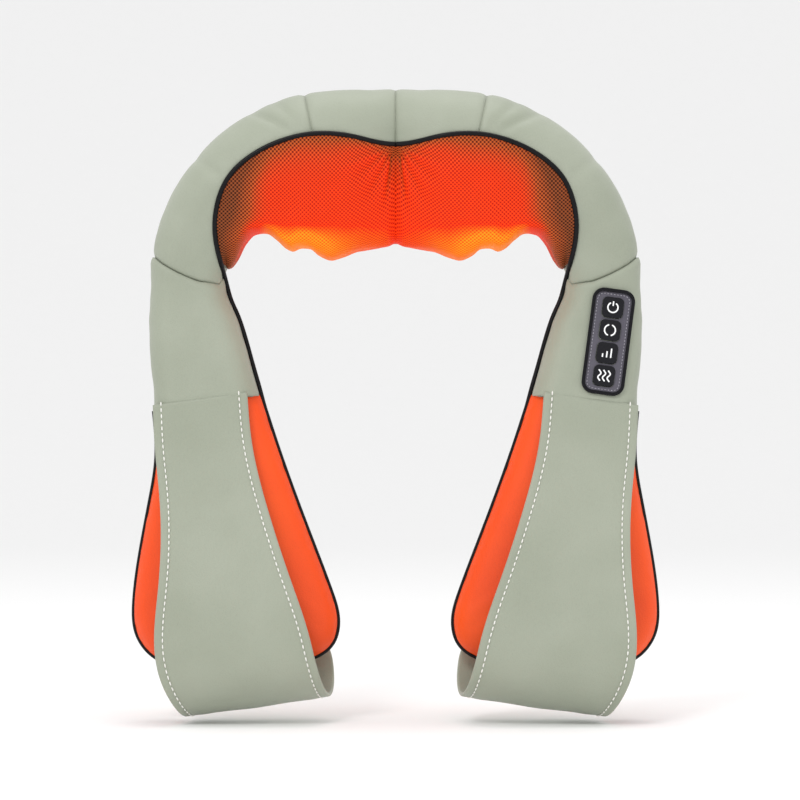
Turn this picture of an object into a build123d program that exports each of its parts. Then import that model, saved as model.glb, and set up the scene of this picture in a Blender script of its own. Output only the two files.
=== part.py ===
"""Shiatsu neck massager worn over the shoulders: a padded collar with two kneading heads behind
a mesh cover, two padded arms with orange pouches, and a leather hand strap looped round each pouch.

Frame: millimetres, +Z up as worn, +X to the right as seen from the front, +Y backwards.
The origin is the neck rest: the middle of the mesh cover's front face.
Left and right below are as seen from the front.
"""

from build123d import *
from math import asin, atan2, ceil, cos, degrees, pi, radians, sin, sqrt, tan
import os

os.makedirs("parts", exist_ok=True)

# ---- driving dimensions: collar -------------------------------------------------------------
bend_x = 40.0  # centre of each shoulder bend, either side of the middle
bend_z = -65.0
bend_radius = 150.0  # outer silhouette of the bend
collar_depth = 86.0  # front to back at the middle
skin = 3.0  # leather or mesh with its foam lining
lining_gap = 0.2  # between a cover and the foam inside it
seam_angle = 102.0  # between the centre and shoulder panels, about the bend's centre
mesh_depth = 48.0  # the mesh wraps under the collar as far back as this
piping_radius = 2.1

# ---- driving dimensions: arms ---------------------------------------------------------------
hinge_y = 20.0  # each arm flexes about this line
hinge_z = -58.0
knuckle_radius = 34.0
knuckle_gap = 0.4
knuckle_x = 128.7  # inner end of the knuckle
hem_x = 149.0  # middle of the hem between the upper arm and the pouch
hem_y = 1.5
hem_z = -160.0
arm_lean = 8.0  # the arms close in downwards, degrees from upright
arm_pitch = 4.0  # and come forwards, degrees
arm_thickness = 44.0
pouch_thickness = 36.0
pouch_round = 12.0
pouch_skin = 2.2
strap_thickness = 3.2
strap_shear = 0.16  # the back of the loop sits this much further in, per millimetre of depth
loop_radius = 37.2
loop_v = -199.0  # middle of the loop, below the hem
strap_end_v = -115.0
strap_steps = 8
cord_proud = piping_radius + 0.6  # the arm piping is stitched onto the edge, not sunk in
cord_run = 13.0  # length of its runs round the pouch
arm_cord_rows = [
    (13.0, -68.0),
    (12.3, -80.0),
    (11.2, -92.0),
    (9.6, -104.0),
    (7.8, -116.0),
    (6.0, -128.0),
    (4.0, -141.0),
]
# The pouch and strap outlines below are across and up from the middle of the hem, seen from the
# front, on the left arm.
pouch_outline = [
    (44.5, 0.0),
    (51.0, -37.0),
    (58.5, -74.0),
    (68.0, -116.0),
    (77.5, -158.0),
    (79.5, -180.0),
    (72.0, -197.0),
    (54.0, -205.0),
    (20.0, -206.0),
    (-15.0, -203.0),
    (-42.0, -197.0),
    (-62.0, -187.0),
    (-73.0, -168.0),
    (-72.0, -145.0),
    (-62.0, -107.0),
    (-48.5, -66.0),
    (-40.0, -36.0),
    (-37.0, 0.0),
]
strap_left = [
    (-40.5, 0.0),
    (-38.0, -33.0),
    (-43.0, -87.0),
    (-51.5, -140.0),
    (-59.5, -190.0),
    (-57.0, -226.0),
    (-55.0, -250.0),
]
strap_right = [
    (31.0, 0.0),
    (30.0, -33.0),
    (37.0, -87.0),
    (48.5, -140.0),
    (59.0, -190.0),
    (61.5, -226.0),
    (62.0, -250.0),
]

# ---- driving dimensions: kneading mechanism ---------------------------------------------------
head_x = 64.0  # spindle of each kneading head
head_z = 0.0
orbit_radius = 24.0  # posts of the massage nodes about the spindle
large_radius = 14.5
small_radius = 11.5
large_tip_y = -9.5
small_tip_y = -4.0
carrier_y = 18.0
carrier_thickness = 5.0
post_radius = 3.0
post_tip_y = 1.5
post_head_radius = 3.8
post_head = 1.5
node_base_gap = 0.3
running_gap = 0.05
hub_radius = 9.0
carrier_arm = 9.0
spindle_radius = 4.0
spindle_end_y = 60.0
bush_radius = 7.0

case_half_width = 100.0
case_bottom_z = -32.0
case_top_z = 42.0
case_corner = 22.0
case_y = 27.0
case_back_y = 64.0
wall = 2.5
case_gap = 0.3

wheel_teeth = 40
gear_module = 1.0
wheel_y = 40.0
wheel_width = 8.0
worm_radius = 5.0
worm_length = 17.0
thread_turns = 4
thread_sink = 0.4
thread_share = 0.3  # tooth and thread thickness as a share of the pitch
motor_radius = 13.8
motor_length = 38.0
shaft_radius = 1.6
shaft_reach = 83.5
screw_radius = 1.5
screw_depth = 16.0
screw_places = [(88.0, 29.0), (88.0, -19.0), (24.0, -27.5)]
boss_radius = 4.0
rear_bush_y = 54.0
rib_x = 11.0
rib_thickness = 2.5
shaft_rib_x = 81.8
board_posts = [(34.0, -18.0), (34.0, 2.0)]
board_y = 52.0
board_thickness = 1.6
post_width = 5.0
foam_window_shrink = 0.02
heater_half = 13.0
heater_span = (-28.0, 34.0)
lamp_rows = (-16.0, 3.0, 22.0)
board_span = (-22.0, 6.0)
lead_z = -14.0
lead_end_x = 30.0

# ---- driving dimensions: control panel and power inlet ------------------------------------------
panel_x = 163.5
panel_y = -13.6
panel_z = -112.0
panel_lean = 8.0
panel_pitch = 9.3
panel_width = 33.0
panel_length = 83.0
panel_corner = 9.0
panel_depth = 9.0
tray_wall = 1.6
rim_width = 2.6
rim_proud = 1.8
key_size = 16.0
key_corner = 3.6
key_pitch = 17.9
key_gap = 0.35
key_travel = 0.8
key_proud = 1.5
flange_thickness = 0.8
inlet_x = -82.0
inlet_z = -8.0
inlet_face_y = 83.0
inlet_bore = 3.1
inlet_bore_length = 4.0
inlet_radius = 5.5
bezel_radius = 9.0
bezel_depth = 5.0
lead_radius = 1.5

# ---- worked out from the above -----------------------------------------------------------------
outer_x = bend_x + bend_radius
reach = 400.0
margin = 5.0
run_share = 0.45  # how much of a run its corner's arc may take
drive_y = wheel_y + wheel_width / 2
wheel_radius = gear_module * wheel_teeth / 2
drive_z = head_z + wheel_radius + worm_radius
gear_pitch = pi * gear_module
foam_inset = skin + lining_gap
sides = (-1, 1)


def write(builder, name):
    """Label a finished piece and write it as parts/NAME.step."""
    builder.part.label = name
    export_step(builder.part, f"parts/{name}.step")


def write_mirrored(builder, name):
    """Write a left-hand piece as NAME_left and its mirror image as NAME_right."""
    with BuildPart() as right:
        add(mirror(builder.part, about=Plane.YZ))
    write(builder, f"{name}_left")
    write(right, f"{name}_right")


def front(y):
    """The plane facing the front at depth y, so a negative extrusion goes backwards."""
    return Plane(origin=(0, y, 0), x_dir=(1, 0, 0), z_dir=(0, -1, 0))


def rod(radius, x, z, y0, y1):
    """A round rod lying front to back, from y0 to y1."""
    with BuildPart() as made:
        with BuildSketch(front(y0)):
            with Locations((x, z)):
                Circle(radius)
        extrude(amount=y0 - y1)
    return made.part


def cross_rod(radius, x0, x1, y, z):
    """A round rod lying left to right, from x0 to x1."""
    with BuildPart() as made:
        with BuildSketch(Plane(origin=(x0, y, z), x_dir=(0, 1, 0), z_dir=(1, 0, 0))):
            Circle(radius)
        extrude(amount=x1 - x0)
    return made.part


def block(x0, x1, y0, y1, z0, z1):
    """A plain block between two corners."""
    with BuildPart() as made:
        with BuildSketch(front(y0)):
            with Locations(((x0 + x1) / 2, (z0 + z1) / 2)):
                Rectangle(x1 - x0, z1 - z0)
        extrude(amount=y0 - y1)
    return made.part


def tube_along(points, radius):
    """A round cord through the points, in order."""
    with BuildPart() as made:
        with BuildLine() as path:
            Spline(*points)
        with BuildSketch(Plane(origin=path.line @ 0, z_dir=path.line % 0)):
            Circle(radius)
        sweep()
    return made.part


# ---- padded blanks: the collar's left half and the left upper arm in one ------------------------
def bend_plane(x, y, z, angle, pitch=0.0):
    """A section plane round the bend: local X outwards from (x, z), local Y backwards."""
    a = radians(angle)
    p = radians(pitch)
    outwards = (cos(a), 0, sin(a))
    along = (-sin(a) * cos(p), -sin(p), cos(a) * cos(p))
    return Plane(origin=(x, y, z), x_dir=outwards, z_dir=along)


def rounded_section(plane, x0, x1, y0, y1, rounds):
    """A rectangle with its own radius at each corner: inner front, outer front, outer back,
    inner back."""
    r00, r10, r11, r01 = rounds
    with BuildSketch(plane) as section:
        with BuildLine():
            Line((x0 + r00, y0), (x1 - r10, y0))
            CenterArc((x1 - r10, y0 + r10), r10, -90, 90)
            Line((x1, y0 + r10), (x1, y1 - r11))
            CenterArc((x1 - r11, y1 - r11), r11, 0, 90)
            Line((x1 - r11, y1), (x0 + r01, y1))
            CenterArc((x0 + r01, y1 - r01), r01, 90, 90)
            Line((x0, y1 - r01), (x0, y0 + r00))
            CenterArc((x0 + r00, y0 + r00), r00, 180, 90)
        make_face()
    return section.sketch


# Each row: x, y and z of the section's origin, its angle and pitch, how far in and out it reaches
# from there, its front and back, and its four corner radii.
collar_rows = [
    (2, 0, bend_z, 90, 0, 27.1, bend_radius + 0.5, 0.8, collar_depth, (12, 36, 32, 24)),
    (-18, 0, bend_z, 90, 0, 26.0, bend_radius + 0.2, -7.0, collar_depth, (12, 37, 32, 24)),
    (-bend_x, 0, bend_z, 90, 0, 24.0, bend_radius, -13.5, collar_depth, (12, 37, 32, 24)),
    (-bend_x, 0, bend_z, 110, 0, 22.5, bend_radius, -13.5, collar_depth - 1, (12, 37, 32, 24)),
    (-bend_x, 0, bend_z, 130, 0, 25.5, bend_radius, -13.5, collar_depth - 5, (12, 34, 30, 24)),
    (-bend_x, 0, bend_z, 141, 0, 33.0, bend_radius, -13.5, collar_depth - 9, (12, 31, 28, 24)),
    (-bend_x, 0, bend_z, 151, 0, 56.0, bend_radius, -12.5, collar_depth - 16, (14, 27, 26, 22)),
    (-bend_x, 0, bend_z, 166, 0, 86.0, bend_radius, -8.0, collar_depth - 29, (16, 20, 22, 20)),
    (-bend_x, 0, bend_z, 180, 0, 92.5, bend_radius, -5.0, collar_depth - 41, (18, 17, 20, 20)),
]
lower_rows = [
    (-156.7, 13.3, -97.0, 183.5, 3, -34.4, 34.4, -23.7, 23.7, (18, 16, 20, 20)),
    (-150.9, 7.2, -129.0, 186, 4, -37.9, 37.9, -22.7, 22.7, (18, 16, 19, 19)),
    (
        -hem_x,
        hem_y,
        hem_z,
        180 + arm_lean,
        arm_pitch,
        -44.5,
        outer_x - hem_x - 4.0,
        -arm_thickness / 2,
        arm_thickness / 2,
        (18, 15, 18, 18),
    ),
]
# The two paddings share sections on both sides of the knuckle, so they meet there in line.
arm_rows = collar_rows[-3:] + lower_rows
collar_rows = collar_rows + lower_rows


def blank(rows, inset):
    """Padding on the left, through the sections in rows, with every face moved in by inset."""
    with BuildPart() as made:
        for x, y, z, angle, pitch, inner, outer, y0, y1, rounds in rows:
            section = rounded_section(
                bend_plane(x, y, z, angle, pitch),
                inner + inset,
                outer - inset,
                y0 + inset,
                y1 - inset,
                [r - inset for r in rounds],
            )
            add(section)
        loft()
        add(block(0, margin, -reach, reach, -reach, reach), mode=Mode.SUBTRACT)
    return made.part


def knuckle(radius, inner_x):
    """The space an arm's rounded top turns in: a cylinder along the hinge, and all below it."""
    with BuildPart() as made:
        add(cross_rod(radius, -inner_x - reach, -inner_x, hinge_y, hinge_z))
        add(block(-reach, -margin, -reach, reach, hinge_z - reach, hinge_z))
    return made.part


insets = (0.0, skin, foam_inset)
collar_blanks = {inset: blank(collar_rows, inset) for inset in insets}
arm_blanks = {inset: blank(arm_rows, inset) for inset in insets}


def collar_half(inset):
    """The collar's left half, down to the socket of its knuckle."""
    with BuildPart() as made:
        add(collar_blanks[inset])
        add(knuckle(knuckle_radius + inset, knuckle_x - inset), mode=Mode.SUBTRACT)
    return made.part


def arm_solid(inset):
    """The left upper arm, from the dome of its knuckle down to the hem."""
    ball = knuckle_radius - knuckle_gap - inset
    with BuildPart() as made:
        add(arm_blanks[inset])
        add(knuckle(ball, knuckle_x + knuckle_gap + inset), mode=Mode.INTERSECT)
    return made.part


# ---- the mesh window and the piping round it ----------------------------------------------------
mesh_top = [
    (0.0, 41.0),
    (-30.0, 45.5),
    (-63.0, 48.0),
    (-88.0, 42.5),
    (-111.0, 31.0),
    (-128.0, 15.0),
    (-136.5, -4.0),
    (-139.0, -27.0),
]
mesh_end = [(-137.5, -42.0), (-130.0, -65.0), (-130.0, -120.0)]


def mesh_region(y0, y1, shrink=0.0):
    """Everything behind the mesh window between two depths; shrink draws its edge in."""
    with BuildPart() as made:
        with BuildSketch(front(y0)):
            with BuildLine():
                left = [(x * (1 - shrink), z * (1 - shrink)) for x, z in mesh_top]
                right = [(-x, z) for x, z in left]
                low = [(x * (1 - shrink), z) for x, z in mesh_end]
                far = [(-x, z) for x, z in low]
                Spline(*reversed(left[1:]), left[0], *right[1:])
                Polyline(right[-1], *far, *reversed(low), left[-1])
            make_face()
        extrude(amount=y0 - y1)
    return made.part


def on_front(x, z):
    """The point of the outer surface seen from the front at (x, z), x being negative or nought."""
    hits = collar_blanks[0.0].find_intersection_points(Axis((min(x, -0.01), -reach, z), (0, 1, 0)))
    return min((point for point, _ in hits), key=lambda point: point.Y)


piping_left = [on_front(x, z) for x, z in mesh_top]
piping_points = [(p.X, p.Y - 0.6, p.Z) for p in reversed(piping_left[1:])]
piping_points.append((0.0, piping_left[0].Y - 0.6, mesh_top[0][1]))
piping_points.extend((-x, y, z) for x, y, z in reversed(piping_points[:-1]))
collar_cord = tube_along(piping_points, piping_radius)

with BuildPart() as collar_piping:
    add(collar_cord)
write(collar_piping, "collar_piping")

with BuildPart() as half_shell:
    add(collar_half(0.0))
    add(collar_half(skin), mode=Mode.SUBTRACT)

with BuildPart() as half_mesh:
    add(half_shell.part)
    add(mesh_region(-reach / 4, mesh_depth), mode=Mode.INTERSECT)

with BuildPart() as mesh_cover:
    add(half_mesh.part)
    add(mirror(half_mesh.part, about=Plane.YZ))
    add(collar_cord, mode=Mode.SUBTRACT)
write(mesh_cover, "mesh_cover")

# ---- leather panels of the collar -----------------------------------------------------------------
inlet_hole = rod(bezel_radius, inlet_x, inlet_z, collar_depth - 20, inlet_face_y + 10)

with BuildPart() as seam_wedge:
    with BuildSketch(front(-reach / 4)):
        with BuildLine():
            a = radians(seam_angle)
            top = (-bend_x + reach * cos(a), bend_z + reach * sin(a))
            Polyline((margin, bend_z), (-bend_x, bend_z), top, (margin, top[1]), close=True)
        make_face()
    extrude(amount=-reach)

with BuildPart() as leather:
    add(half_shell.part)
    add(mesh_region(-reach / 4, mesh_depth), mode=Mode.SUBTRACT)
    add(collar_cord, mode=Mode.SUBTRACT)

with BuildPart() as cover_centre:
    add(leather.part)
    add(seam_wedge.part, mode=Mode.INTERSECT)
write_mirrored(cover_centre, "cover_centre")

with BuildPart() as cover_shoulder_right:
    add(mirror(leather.part, about=Plane.YZ))
    add(mirror(seam_wedge.part, about=Plane.YZ), mode=Mode.SUBTRACT)
write(cover_shoulder_right, "cover_shoulder_right")

with BuildPart() as cover_shoulder_left:
    add(leather.part)
    add(seam_wedge.part, mode=Mode.SUBTRACT)
    add(inlet_hole, mode=Mode.SUBTRACT)
write(cover_shoulder_left, "cover_shoulder_left")

# ---- collar foam, with room for the kneading mechanism --------------------------------------------
def case_outline(grow):
    """The case's rounded outline, seen from the front, grown all round."""
    with BuildSketch() as outline:
        with Locations((0, (case_bottom_z + case_top_z) / 2)):
            RectangleRounded(
                2 * (case_half_width + grow),
                case_top_z - case_bottom_z + 2 * grow,
                case_corner + grow,
            )
    return outline.sketch


def case_block(grow, y0, y1):
    """The case's outline between two depths."""
    with BuildPart() as made:
        with BuildSketch(front(y0)):
            add(case_outline(grow))
        extrude(amount=y0 - y1)
    return made.part


jack_hole = rod(inlet_radius, inlet_x, inlet_z, case_back_y - 1, inlet_face_y)
bezel_seat = rod(bezel_radius, inlet_x, inlet_z, inlet_face_y - bezel_depth, inlet_face_y)

with BuildPart() as collar_foam:
    add(collar_half(foam_inset))
    add(mirror(collar_half(foam_inset), about=Plane.YZ))
    add(mesh_region(-reach / 4, case_y - case_gap, foam_window_shrink), mode=Mode.SUBTRACT)
    add(case_block(case_gap, case_y - 1, case_back_y + case_gap), mode=Mode.SUBTRACT)
    add(jack_hole, mode=Mode.SUBTRACT)
    add(bezel_seat, mode=Mode.SUBTRACT)
write(collar_foam, "collar_foam")

# ---- case of the mechanism --------------------------------------------------------------------------
screw_spots = [(x * side, z) for x, z in screw_places for side in sides]
plate_back_y = case_y + wall
tray_floor_y = case_back_y - wall

with BuildPart() as housing_front:
    with BuildSketch(front(case_y)):
        add(case_outline(0))
        with Locations(*[(side * head_x, head_z) for side in sides]):
            Circle(bush_radius, mode=Mode.SUBTRACT)
        with Locations(*screw_spots):
            Circle(screw_radius + running_gap, mode=Mode.SUBTRACT)
    extrude(amount=-wall)
write(housing_front, "housing_front")

with BuildPart() as housing_rear:
    add(case_block(0, plate_back_y, case_back_y))
    with BuildSketch(front(plate_back_y)):
        add(case_outline(-wall))
    extrude(amount=plate_back_y - tray_floor_y, mode=Mode.SUBTRACT)
    with BuildSketch(front(plate_back_y)):
        with Locations(*screw_spots):
            Circle(boss_radius)
    extrude(amount=plate_back_y - tray_floor_y)
    with BuildSketch(front(rear_bush_y - 1)):
        with Locations(*[(side * head_x, head_z) for side in sides]):
            Circle(bush_radius + wall)
    extrude(amount=rear_bush_y - 1 - tray_floor_y)
    for side in sides:
        add(
            block(
                side * rib_x - rib_thickness / 2,
                side * rib_x + rib_thickness / 2,
                drive_y,
                tray_floor_y,
                drive_z - 0.9 * motor_radius,
                case_top_z - wall,
            )
        )
        add(
            block(
                side * shaft_rib_x - rib_thickness / 2,
                side * shaft_rib_x + rib_thickness / 2,
                drive_y - 3 * shaft_radius,
                tray_floor_y,
                drive_z - 3 * shaft_radius,
                drive_z + 3 * shaft_radius,
            )
        )
        for x, z in board_posts:
            add(rod(post_width / 2, side * x, z, board_y + board_thickness, tray_floor_y))
    add(
        cross_rod(motor_radius, -motor_length / 2, motor_length / 2, drive_y, drive_z),
        mode=Mode.SUBTRACT,
    )
    shaft_hole = shaft_radius + running_gap
    add(
        cross_rod(shaft_hole, -case_half_width + wall, case_half_width - wall, drive_y, drive_z),
        mode=Mode.SUBTRACT,
    )
    with BuildSketch(front(plate_back_y)):
        with Locations(*screw_spots):
            Circle(screw_radius + running_gap)
    extrude(amount=-screw_depth, mode=Mode.SUBTRACT)
    for side in sides:
        add(
            rod(bush_radius, side * head_x, head_z, rear_bush_y - 2, tray_floor_y),
            mode=Mode.SUBTRACT,
        )
    add(rod(lead_radius + 0.3, inlet_x, inlet_z, tray_floor_y - 1, case_back_y + 1), mode=Mode.SUBTRACT)
write(housing_rear, "housing_rear")

with BuildPart() as housing_screws:
    for x, z in screw_spots:
        add(rod(screw_radius, x, z, case_y, plate_back_y + screw_depth - 1))
        add(rod(2 * screw_radius, x, z, case_y - 1.5, case_y))
write(housing_screws, "housing_screws")

with BuildPart() as bush_front:
    for side in sides:
        add(rod(bush_radius, side * head_x, head_z, case_y - 1, plate_back_y + 2))
        add(
            rod(spindle_radius + running_gap, side * head_x, head_z, case_y - 2, plate_back_y + 3),
            mode=Mode.SUBTRACT,
        )
write(bush_front, "bush_front")

with BuildPart() as bush_rear:
    for side in sides:
        add(rod(bush_radius, side * head_x, head_z, rear_bush_y, tray_floor_y))
        add(
            rod(spindle_radius + running_gap, side * head_x, head_z, rear_bush_y - 1, case_back_y),
            mode=Mode.SUBTRACT,
        )
write(bush_rear, "bush_rear")

# ---- motor and double-ended worm drive --------------------------------------------------------------
with BuildPart() as motor:
    add(cross_rod(motor_radius, -motor_length / 2, motor_length / 2, drive_y, drive_z))
    add(
        cross_rod(3 * shaft_radius, -motor_length / 2 - 2, motor_length / 2 + 2, drive_y, drive_z)
    )
    add(
        cross_rod(shaft_hole, -motor_length / 2 - 3, motor_length / 2 + 3, drive_y, drive_z),
        mode=Mode.SUBTRACT,
    )
write(motor, "motor")

with BuildPart() as motor_shaft:
    add(cross_rod(shaft_radius, -shaft_reach, shaft_reach, drive_y, drive_z))
write(motor_shaft, "motor_shaft")

thread_top = worm_radius + gear_module
thread_root = worm_radius - 1.2 * gear_module
thread_half = thread_share * gear_pitch / 2

with BuildPart() as worm_right:
    # The tooth of the wheel that faces the worm sits midway between two crossings of its thread.
    start_x = head_x - thread_turns * gear_pitch / 2
    top_z = drive_z + thread_root
    half_worm = worm_length / 2
    add(cross_rod(thread_root, head_x - half_worm, head_x + half_worm, drive_y, drive_z))
    with BuildLine():
        Helix(
            pitch=gear_pitch,
            height=thread_turns * gear_pitch,
            radius=thread_root,
            center=(start_x, drive_y, drive_z),
            direction=(1, 0, 0),
        )
    with BuildSketch(Plane(origin=(start_x, drive_y, top_z), x_dir=(1, 0, 0), z_dir=(0, -1, 0))):
        Polygon(
            (-thread_half - gear_module * 0.35, -thread_sink),
            (thread_half + gear_module * 0.35, -thread_sink),
            (thread_half - gear_module * 0.25, thread_top - thread_root),
            (-thread_half + gear_module * 0.25, thread_top - thread_root),
            align=None,
        )
    sweep(is_frenet=True)
    add(
        cross_rod(shaft_radius, head_x - worm_length, head_x + worm_length, drive_y, drive_z),
        mode=Mode.SUBTRACT,
    )

with BuildPart() as worm_left:
    add(mirror(worm_right.part, about=Plane.YZ))
write(worm_right, "worm_right")
write(worm_left, "worm_left")

# ---- kneading heads -----------------------------------------------------------------------------------
post_angles = {"large": (45.0, 225.0), "small": (135.0, 315.0)}
wheel_root = wheel_radius - 1.2 * gear_module
wheel_tip = wheel_radius + gear_module

with BuildPart() as spindle:
    add(rod(spindle_radius, -head_x, head_z, carrier_y + 1, spindle_end_y))
write_mirrored(spindle, "spindle")

with BuildPart() as worm_wheel:
    with BuildSketch(front(wheel_y)):
        with Locations((-head_x, head_z)):
            Circle(wheel_root)
            with PolarLocations(0, wheel_teeth):
                Polygon(
                    (wheel_root - thread_sink, -thread_half - gear_module * 0.3),
                    (wheel_tip, -thread_half + gear_module * 0.25),
                    (wheel_tip, thread_half - gear_module * 0.25),
                    (wheel_root - thread_sink, thread_half + gear_module * 0.3),
                    align=None,
                )
            Circle(spindle_radius, mode=Mode.SUBTRACT)
    extrude(amount=-wheel_width)
write_mirrored(worm_wheel, "worm_wheel")

with BuildPart() as carrier:
    with BuildSketch(front(carrier_y)):
        with Locations((-head_x, head_z)):
            Circle(hub_radius)
            with PolarLocations(orbit_radius / 2, 4, start_angle=45):
                Rectangle(orbit_radius, carrier_arm)
            with PolarLocations(orbit_radius, 4, start_angle=45):
                Circle(2 * post_radius)
    extrude(amount=-carrier_thickness)
    for angle in range(45, 360, 90):
        x = -head_x + orbit_radius * cos(radians(angle))
        z = head_z + orbit_radius * sin(radians(angle))
        add(rod(post_radius, x, z, post_tip_y + post_head, carrier_y))
        add(rod(post_head_radius, x, z, post_tip_y, post_tip_y + post_head))
    add(
        rod(spindle_radius, -head_x, head_z, carrier_y + 1, carrier_y + carrier_thickness),
        mode=Mode.SUBTRACT,
    )
write_mirrored(carrier, "carrier")


def massage_node(radius, tip_y, angle):
    """A round massage node on the left head's post at an angle, seen from the front."""
    x = -head_x + orbit_radius * cos(radians(angle))
    z = head_z + orbit_radius * sin(radians(angle))
    base_y = carrier_y - node_base_gap
    head_y = post_tip_y + post_head
    with BuildPart() as made:
        with Locations((x, tip_y + radius, z)):
            Sphere(radius)
        add(rod(2 * radius, x, z, base_y, base_y + 2 * radius), mode=Mode.SUBTRACT)
        add(rod(post_radius + running_gap, x, z, head_y, base_y), mode=Mode.SUBTRACT)
        add(
            rod(
                post_head_radius + running_gap,
                x,
                z,
                post_tip_y - node_base_gap,
                head_y + node_base_gap,
            ),
            mode=Mode.SUBTRACT,
        )
    return made


for kind, radius, tip_y in (
    ("large", large_radius, large_tip_y),
    ("small", small_radius, small_tip_y),
):
    for letter, angle in zip("ab", post_angles[kind]):
        # The upper right post carries a small node on the left head, so turn by a quarter.
        write_mirrored(massage_node(radius, tip_y, angle + 90), f"node_{kind}_{letter}")

# ---- boards, lamps and power inlet -------------------------------------------------------------------
with BuildPart() as heater_board:
    add(block(-heater_half, heater_half, case_y - board_thickness, case_y, *heater_span))
write(heater_board, "heater_board")

with BuildPart() as heater_leds:
    lamp_y = case_y - board_thickness
    for side in sides:
        for z in lamp_rows:
            x = side * heater_half / 2
            add(block(x - 2.5, x + 2.5, lamp_y - 1.6, lamp_y, z - 2.5, z + 2.5))
            add(rod(1.9, x, z, lamp_y - 2.8, lamp_y - 1.6))
write(heater_leds, "heater_leds")

board_half = board_posts[0][0] + 4.0

with BuildPart() as control_board:
    add(block(-board_half, board_half, board_y, board_y + board_thickness, *board_span))
write(control_board, "control_board")

with BuildPart() as board_components:
    add(block(-10, 2, board_y - 1.8, board_y, -12, 0))
    add(block(14, 22, board_y - 6, board_y, -18, -10))
    add(block(-30, -22, board_y - 7, board_y, -4, 2))
    add(rod(4.0, 28, -6, board_y - 9, board_y))
    add(rod(3.0, 18, -2, board_y - 7, board_y))
    add(rod(3.0, -18, -16, board_y - 7, board_y))
write(board_components, "board_components")

with BuildPart() as dc_bezel:
    add(bezel_seat)
    chamfer(dc_bezel.edges().group_by(Axis.Y)[-1], 0.8)
    add(rod(inlet_radius, inlet_x, inlet_z, inlet_face_y - 6, inlet_face_y + 1), mode=Mode.SUBTRACT)
write(dc_bezel, "dc_bezel")

with BuildPart() as dc_jack:
    mouth_y = inlet_face_y - 0.6
    pin_y = mouth_y - inlet_bore_length
    add(rod(inlet_radius, inlet_x, inlet_z, case_back_y + 2, mouth_y))
    add(rod(inlet_bore, inlet_x, inlet_z, pin_y, mouth_y), mode=Mode.SUBTRACT)
    add(rod(inlet_bore - 0.4, inlet_x, inlet_z, case_back_y + 5, pin_y), mode=Mode.SUBTRACT)
    add(rod(1.0, inlet_x, inlet_z, case_back_y + 4.9, pin_y - 0.5))
write(dc_jack, "dc_jack")

with BuildPart() as power_lead:
    lead_y = tray_floor_y - 4
    with BuildLine() as lead_path:
        FilletPolyline(
            (inlet_x, case_back_y + 2, inlet_z),
            (inlet_x, lead_y, inlet_z),
            (inlet_x, lead_y, lead_z),
            (-lead_end_x, lead_y, lead_z),
            (-lead_end_x, board_y + board_thickness, lead_z),
            radius=2.5,
        )
    with BuildSketch(Plane(origin=lead_path.line @ 0, z_dir=lead_path.line % 0)):
        Circle(lead_radius)
    sweep()
write(power_lead, "power_lead")

# ---- pouches, straps and arm piping --------------------------------------------------------------------
lean = radians(arm_lean)
pitch = radians(arm_pitch)
pouch_plane = Plane(
    origin=(-hem_x, hem_y, hem_z),
    x_dir=(cos(lean), 0, sin(lean)),
    z_dir=(-sin(lean) * sin(pitch), -cos(pitch), cos(lean) * sin(pitch)),
)
strap_plane = Plane(
    origin=(-hem_x, hem_y, hem_z), x_dir=pouch_plane.z_dir, z_dir=-pouch_plane.x_dir
)


def drawn_in(points, inset):
    """An open outline that starts and ends on the hem, moved in by inset."""
    moved = []
    last = len(points) - 1
    for i, (u, v) in enumerate(points):
        before = points[max(i - 1, 0)]
        after = points[min(i + 1, last)]
        du = after[0] - before[0]
        dv = after[1] - before[1]
        size = sqrt(du * du + dv * dv)
        nu = dv / size
        nv = -du / size
        new_u = u + inset * nu
        new_v = v + inset * nv
        if i in (0, last):
            new_u += du / dv * (-inset - new_v)
            new_v = -inset
        moved.append((new_u, new_v))
    return moved


def pouch_block(inset):
    """The left pouch's cushion, moved in by inset all round."""
    with BuildPart() as made:
        with BuildSketch(pouch_plane):
            with BuildLine():
                side = Spline(*drawn_in(pouch_outline, inset))
                Line(side @ 1, side @ 0)
            make_face()
        extrude(amount=pouch_thickness / 2 - inset, both=True)
        fillet(made.edges().filter_by(GeomType.BSPLINE), pouch_round - inset)
    return made.part


def arm_inner(y, z):
    """The point of the upper arm's neck-side face at (y, z)."""
    hits = arm_blanks[0.0].find_intersection_points(Axis((0, y, z), (-1, 0, 0)))
    return max((point for point, _ in hits), key=lambda point: point.X)


def run_radii(points):
    """The arc at each corner of a route, as large as its two runs allow."""
    radii = []
    for before, corner, after in zip(points, points[1:], points[2:]):
        arriving = Vector(*corner) - Vector(*before)
        leaving = Vector(*after) - Vector(*corner)
        half_turn = radians(arriving.get_angle(leaving)) / 2
        radii.append(run_share * min(arriving.length, leaving.length) / tan(half_turn))
    return radii


cord_points = []
for y, z in arm_cord_rows:
    p = arm_inner(y, z)
    cord_points.append((p.X + cord_proud, p.Y, p.Z))
with BuildLine() as cord_outline:
    Spline(*drawn_in(pouch_outline, -cord_proud))
cord_edge = cord_outline.edges()[0]
cord_steps = ceil(cord_edge.length / cord_run)
for i in range(cord_steps + 1):
    q = cord_edge @ (i / cord_steps)
    p = pouch_plane.from_local_coords(Vector(q.X, q.Y, 0))
    cord_points.append((p.X, p.Y, p.Z))

with BuildPart() as arm_piping:
    with BuildLine() as cord_route:
        FilletPolyline(*cord_points, radius=run_radii(cord_points))
    with BuildSketch(Plane(origin=cord_route.line @ 0, z_dir=cord_route.line % 0)):
        Circle(piping_radius)
    sweep()
write_mirrored(arm_piping, "arm_piping")

with BuildPart() as pouch_cover:
    add(pouch_block(0.0))
    add(pouch_block(pouch_skin), mode=Mode.SUBTRACT)
write_mirrored(pouch_cover, "pouch_cover")

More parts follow.
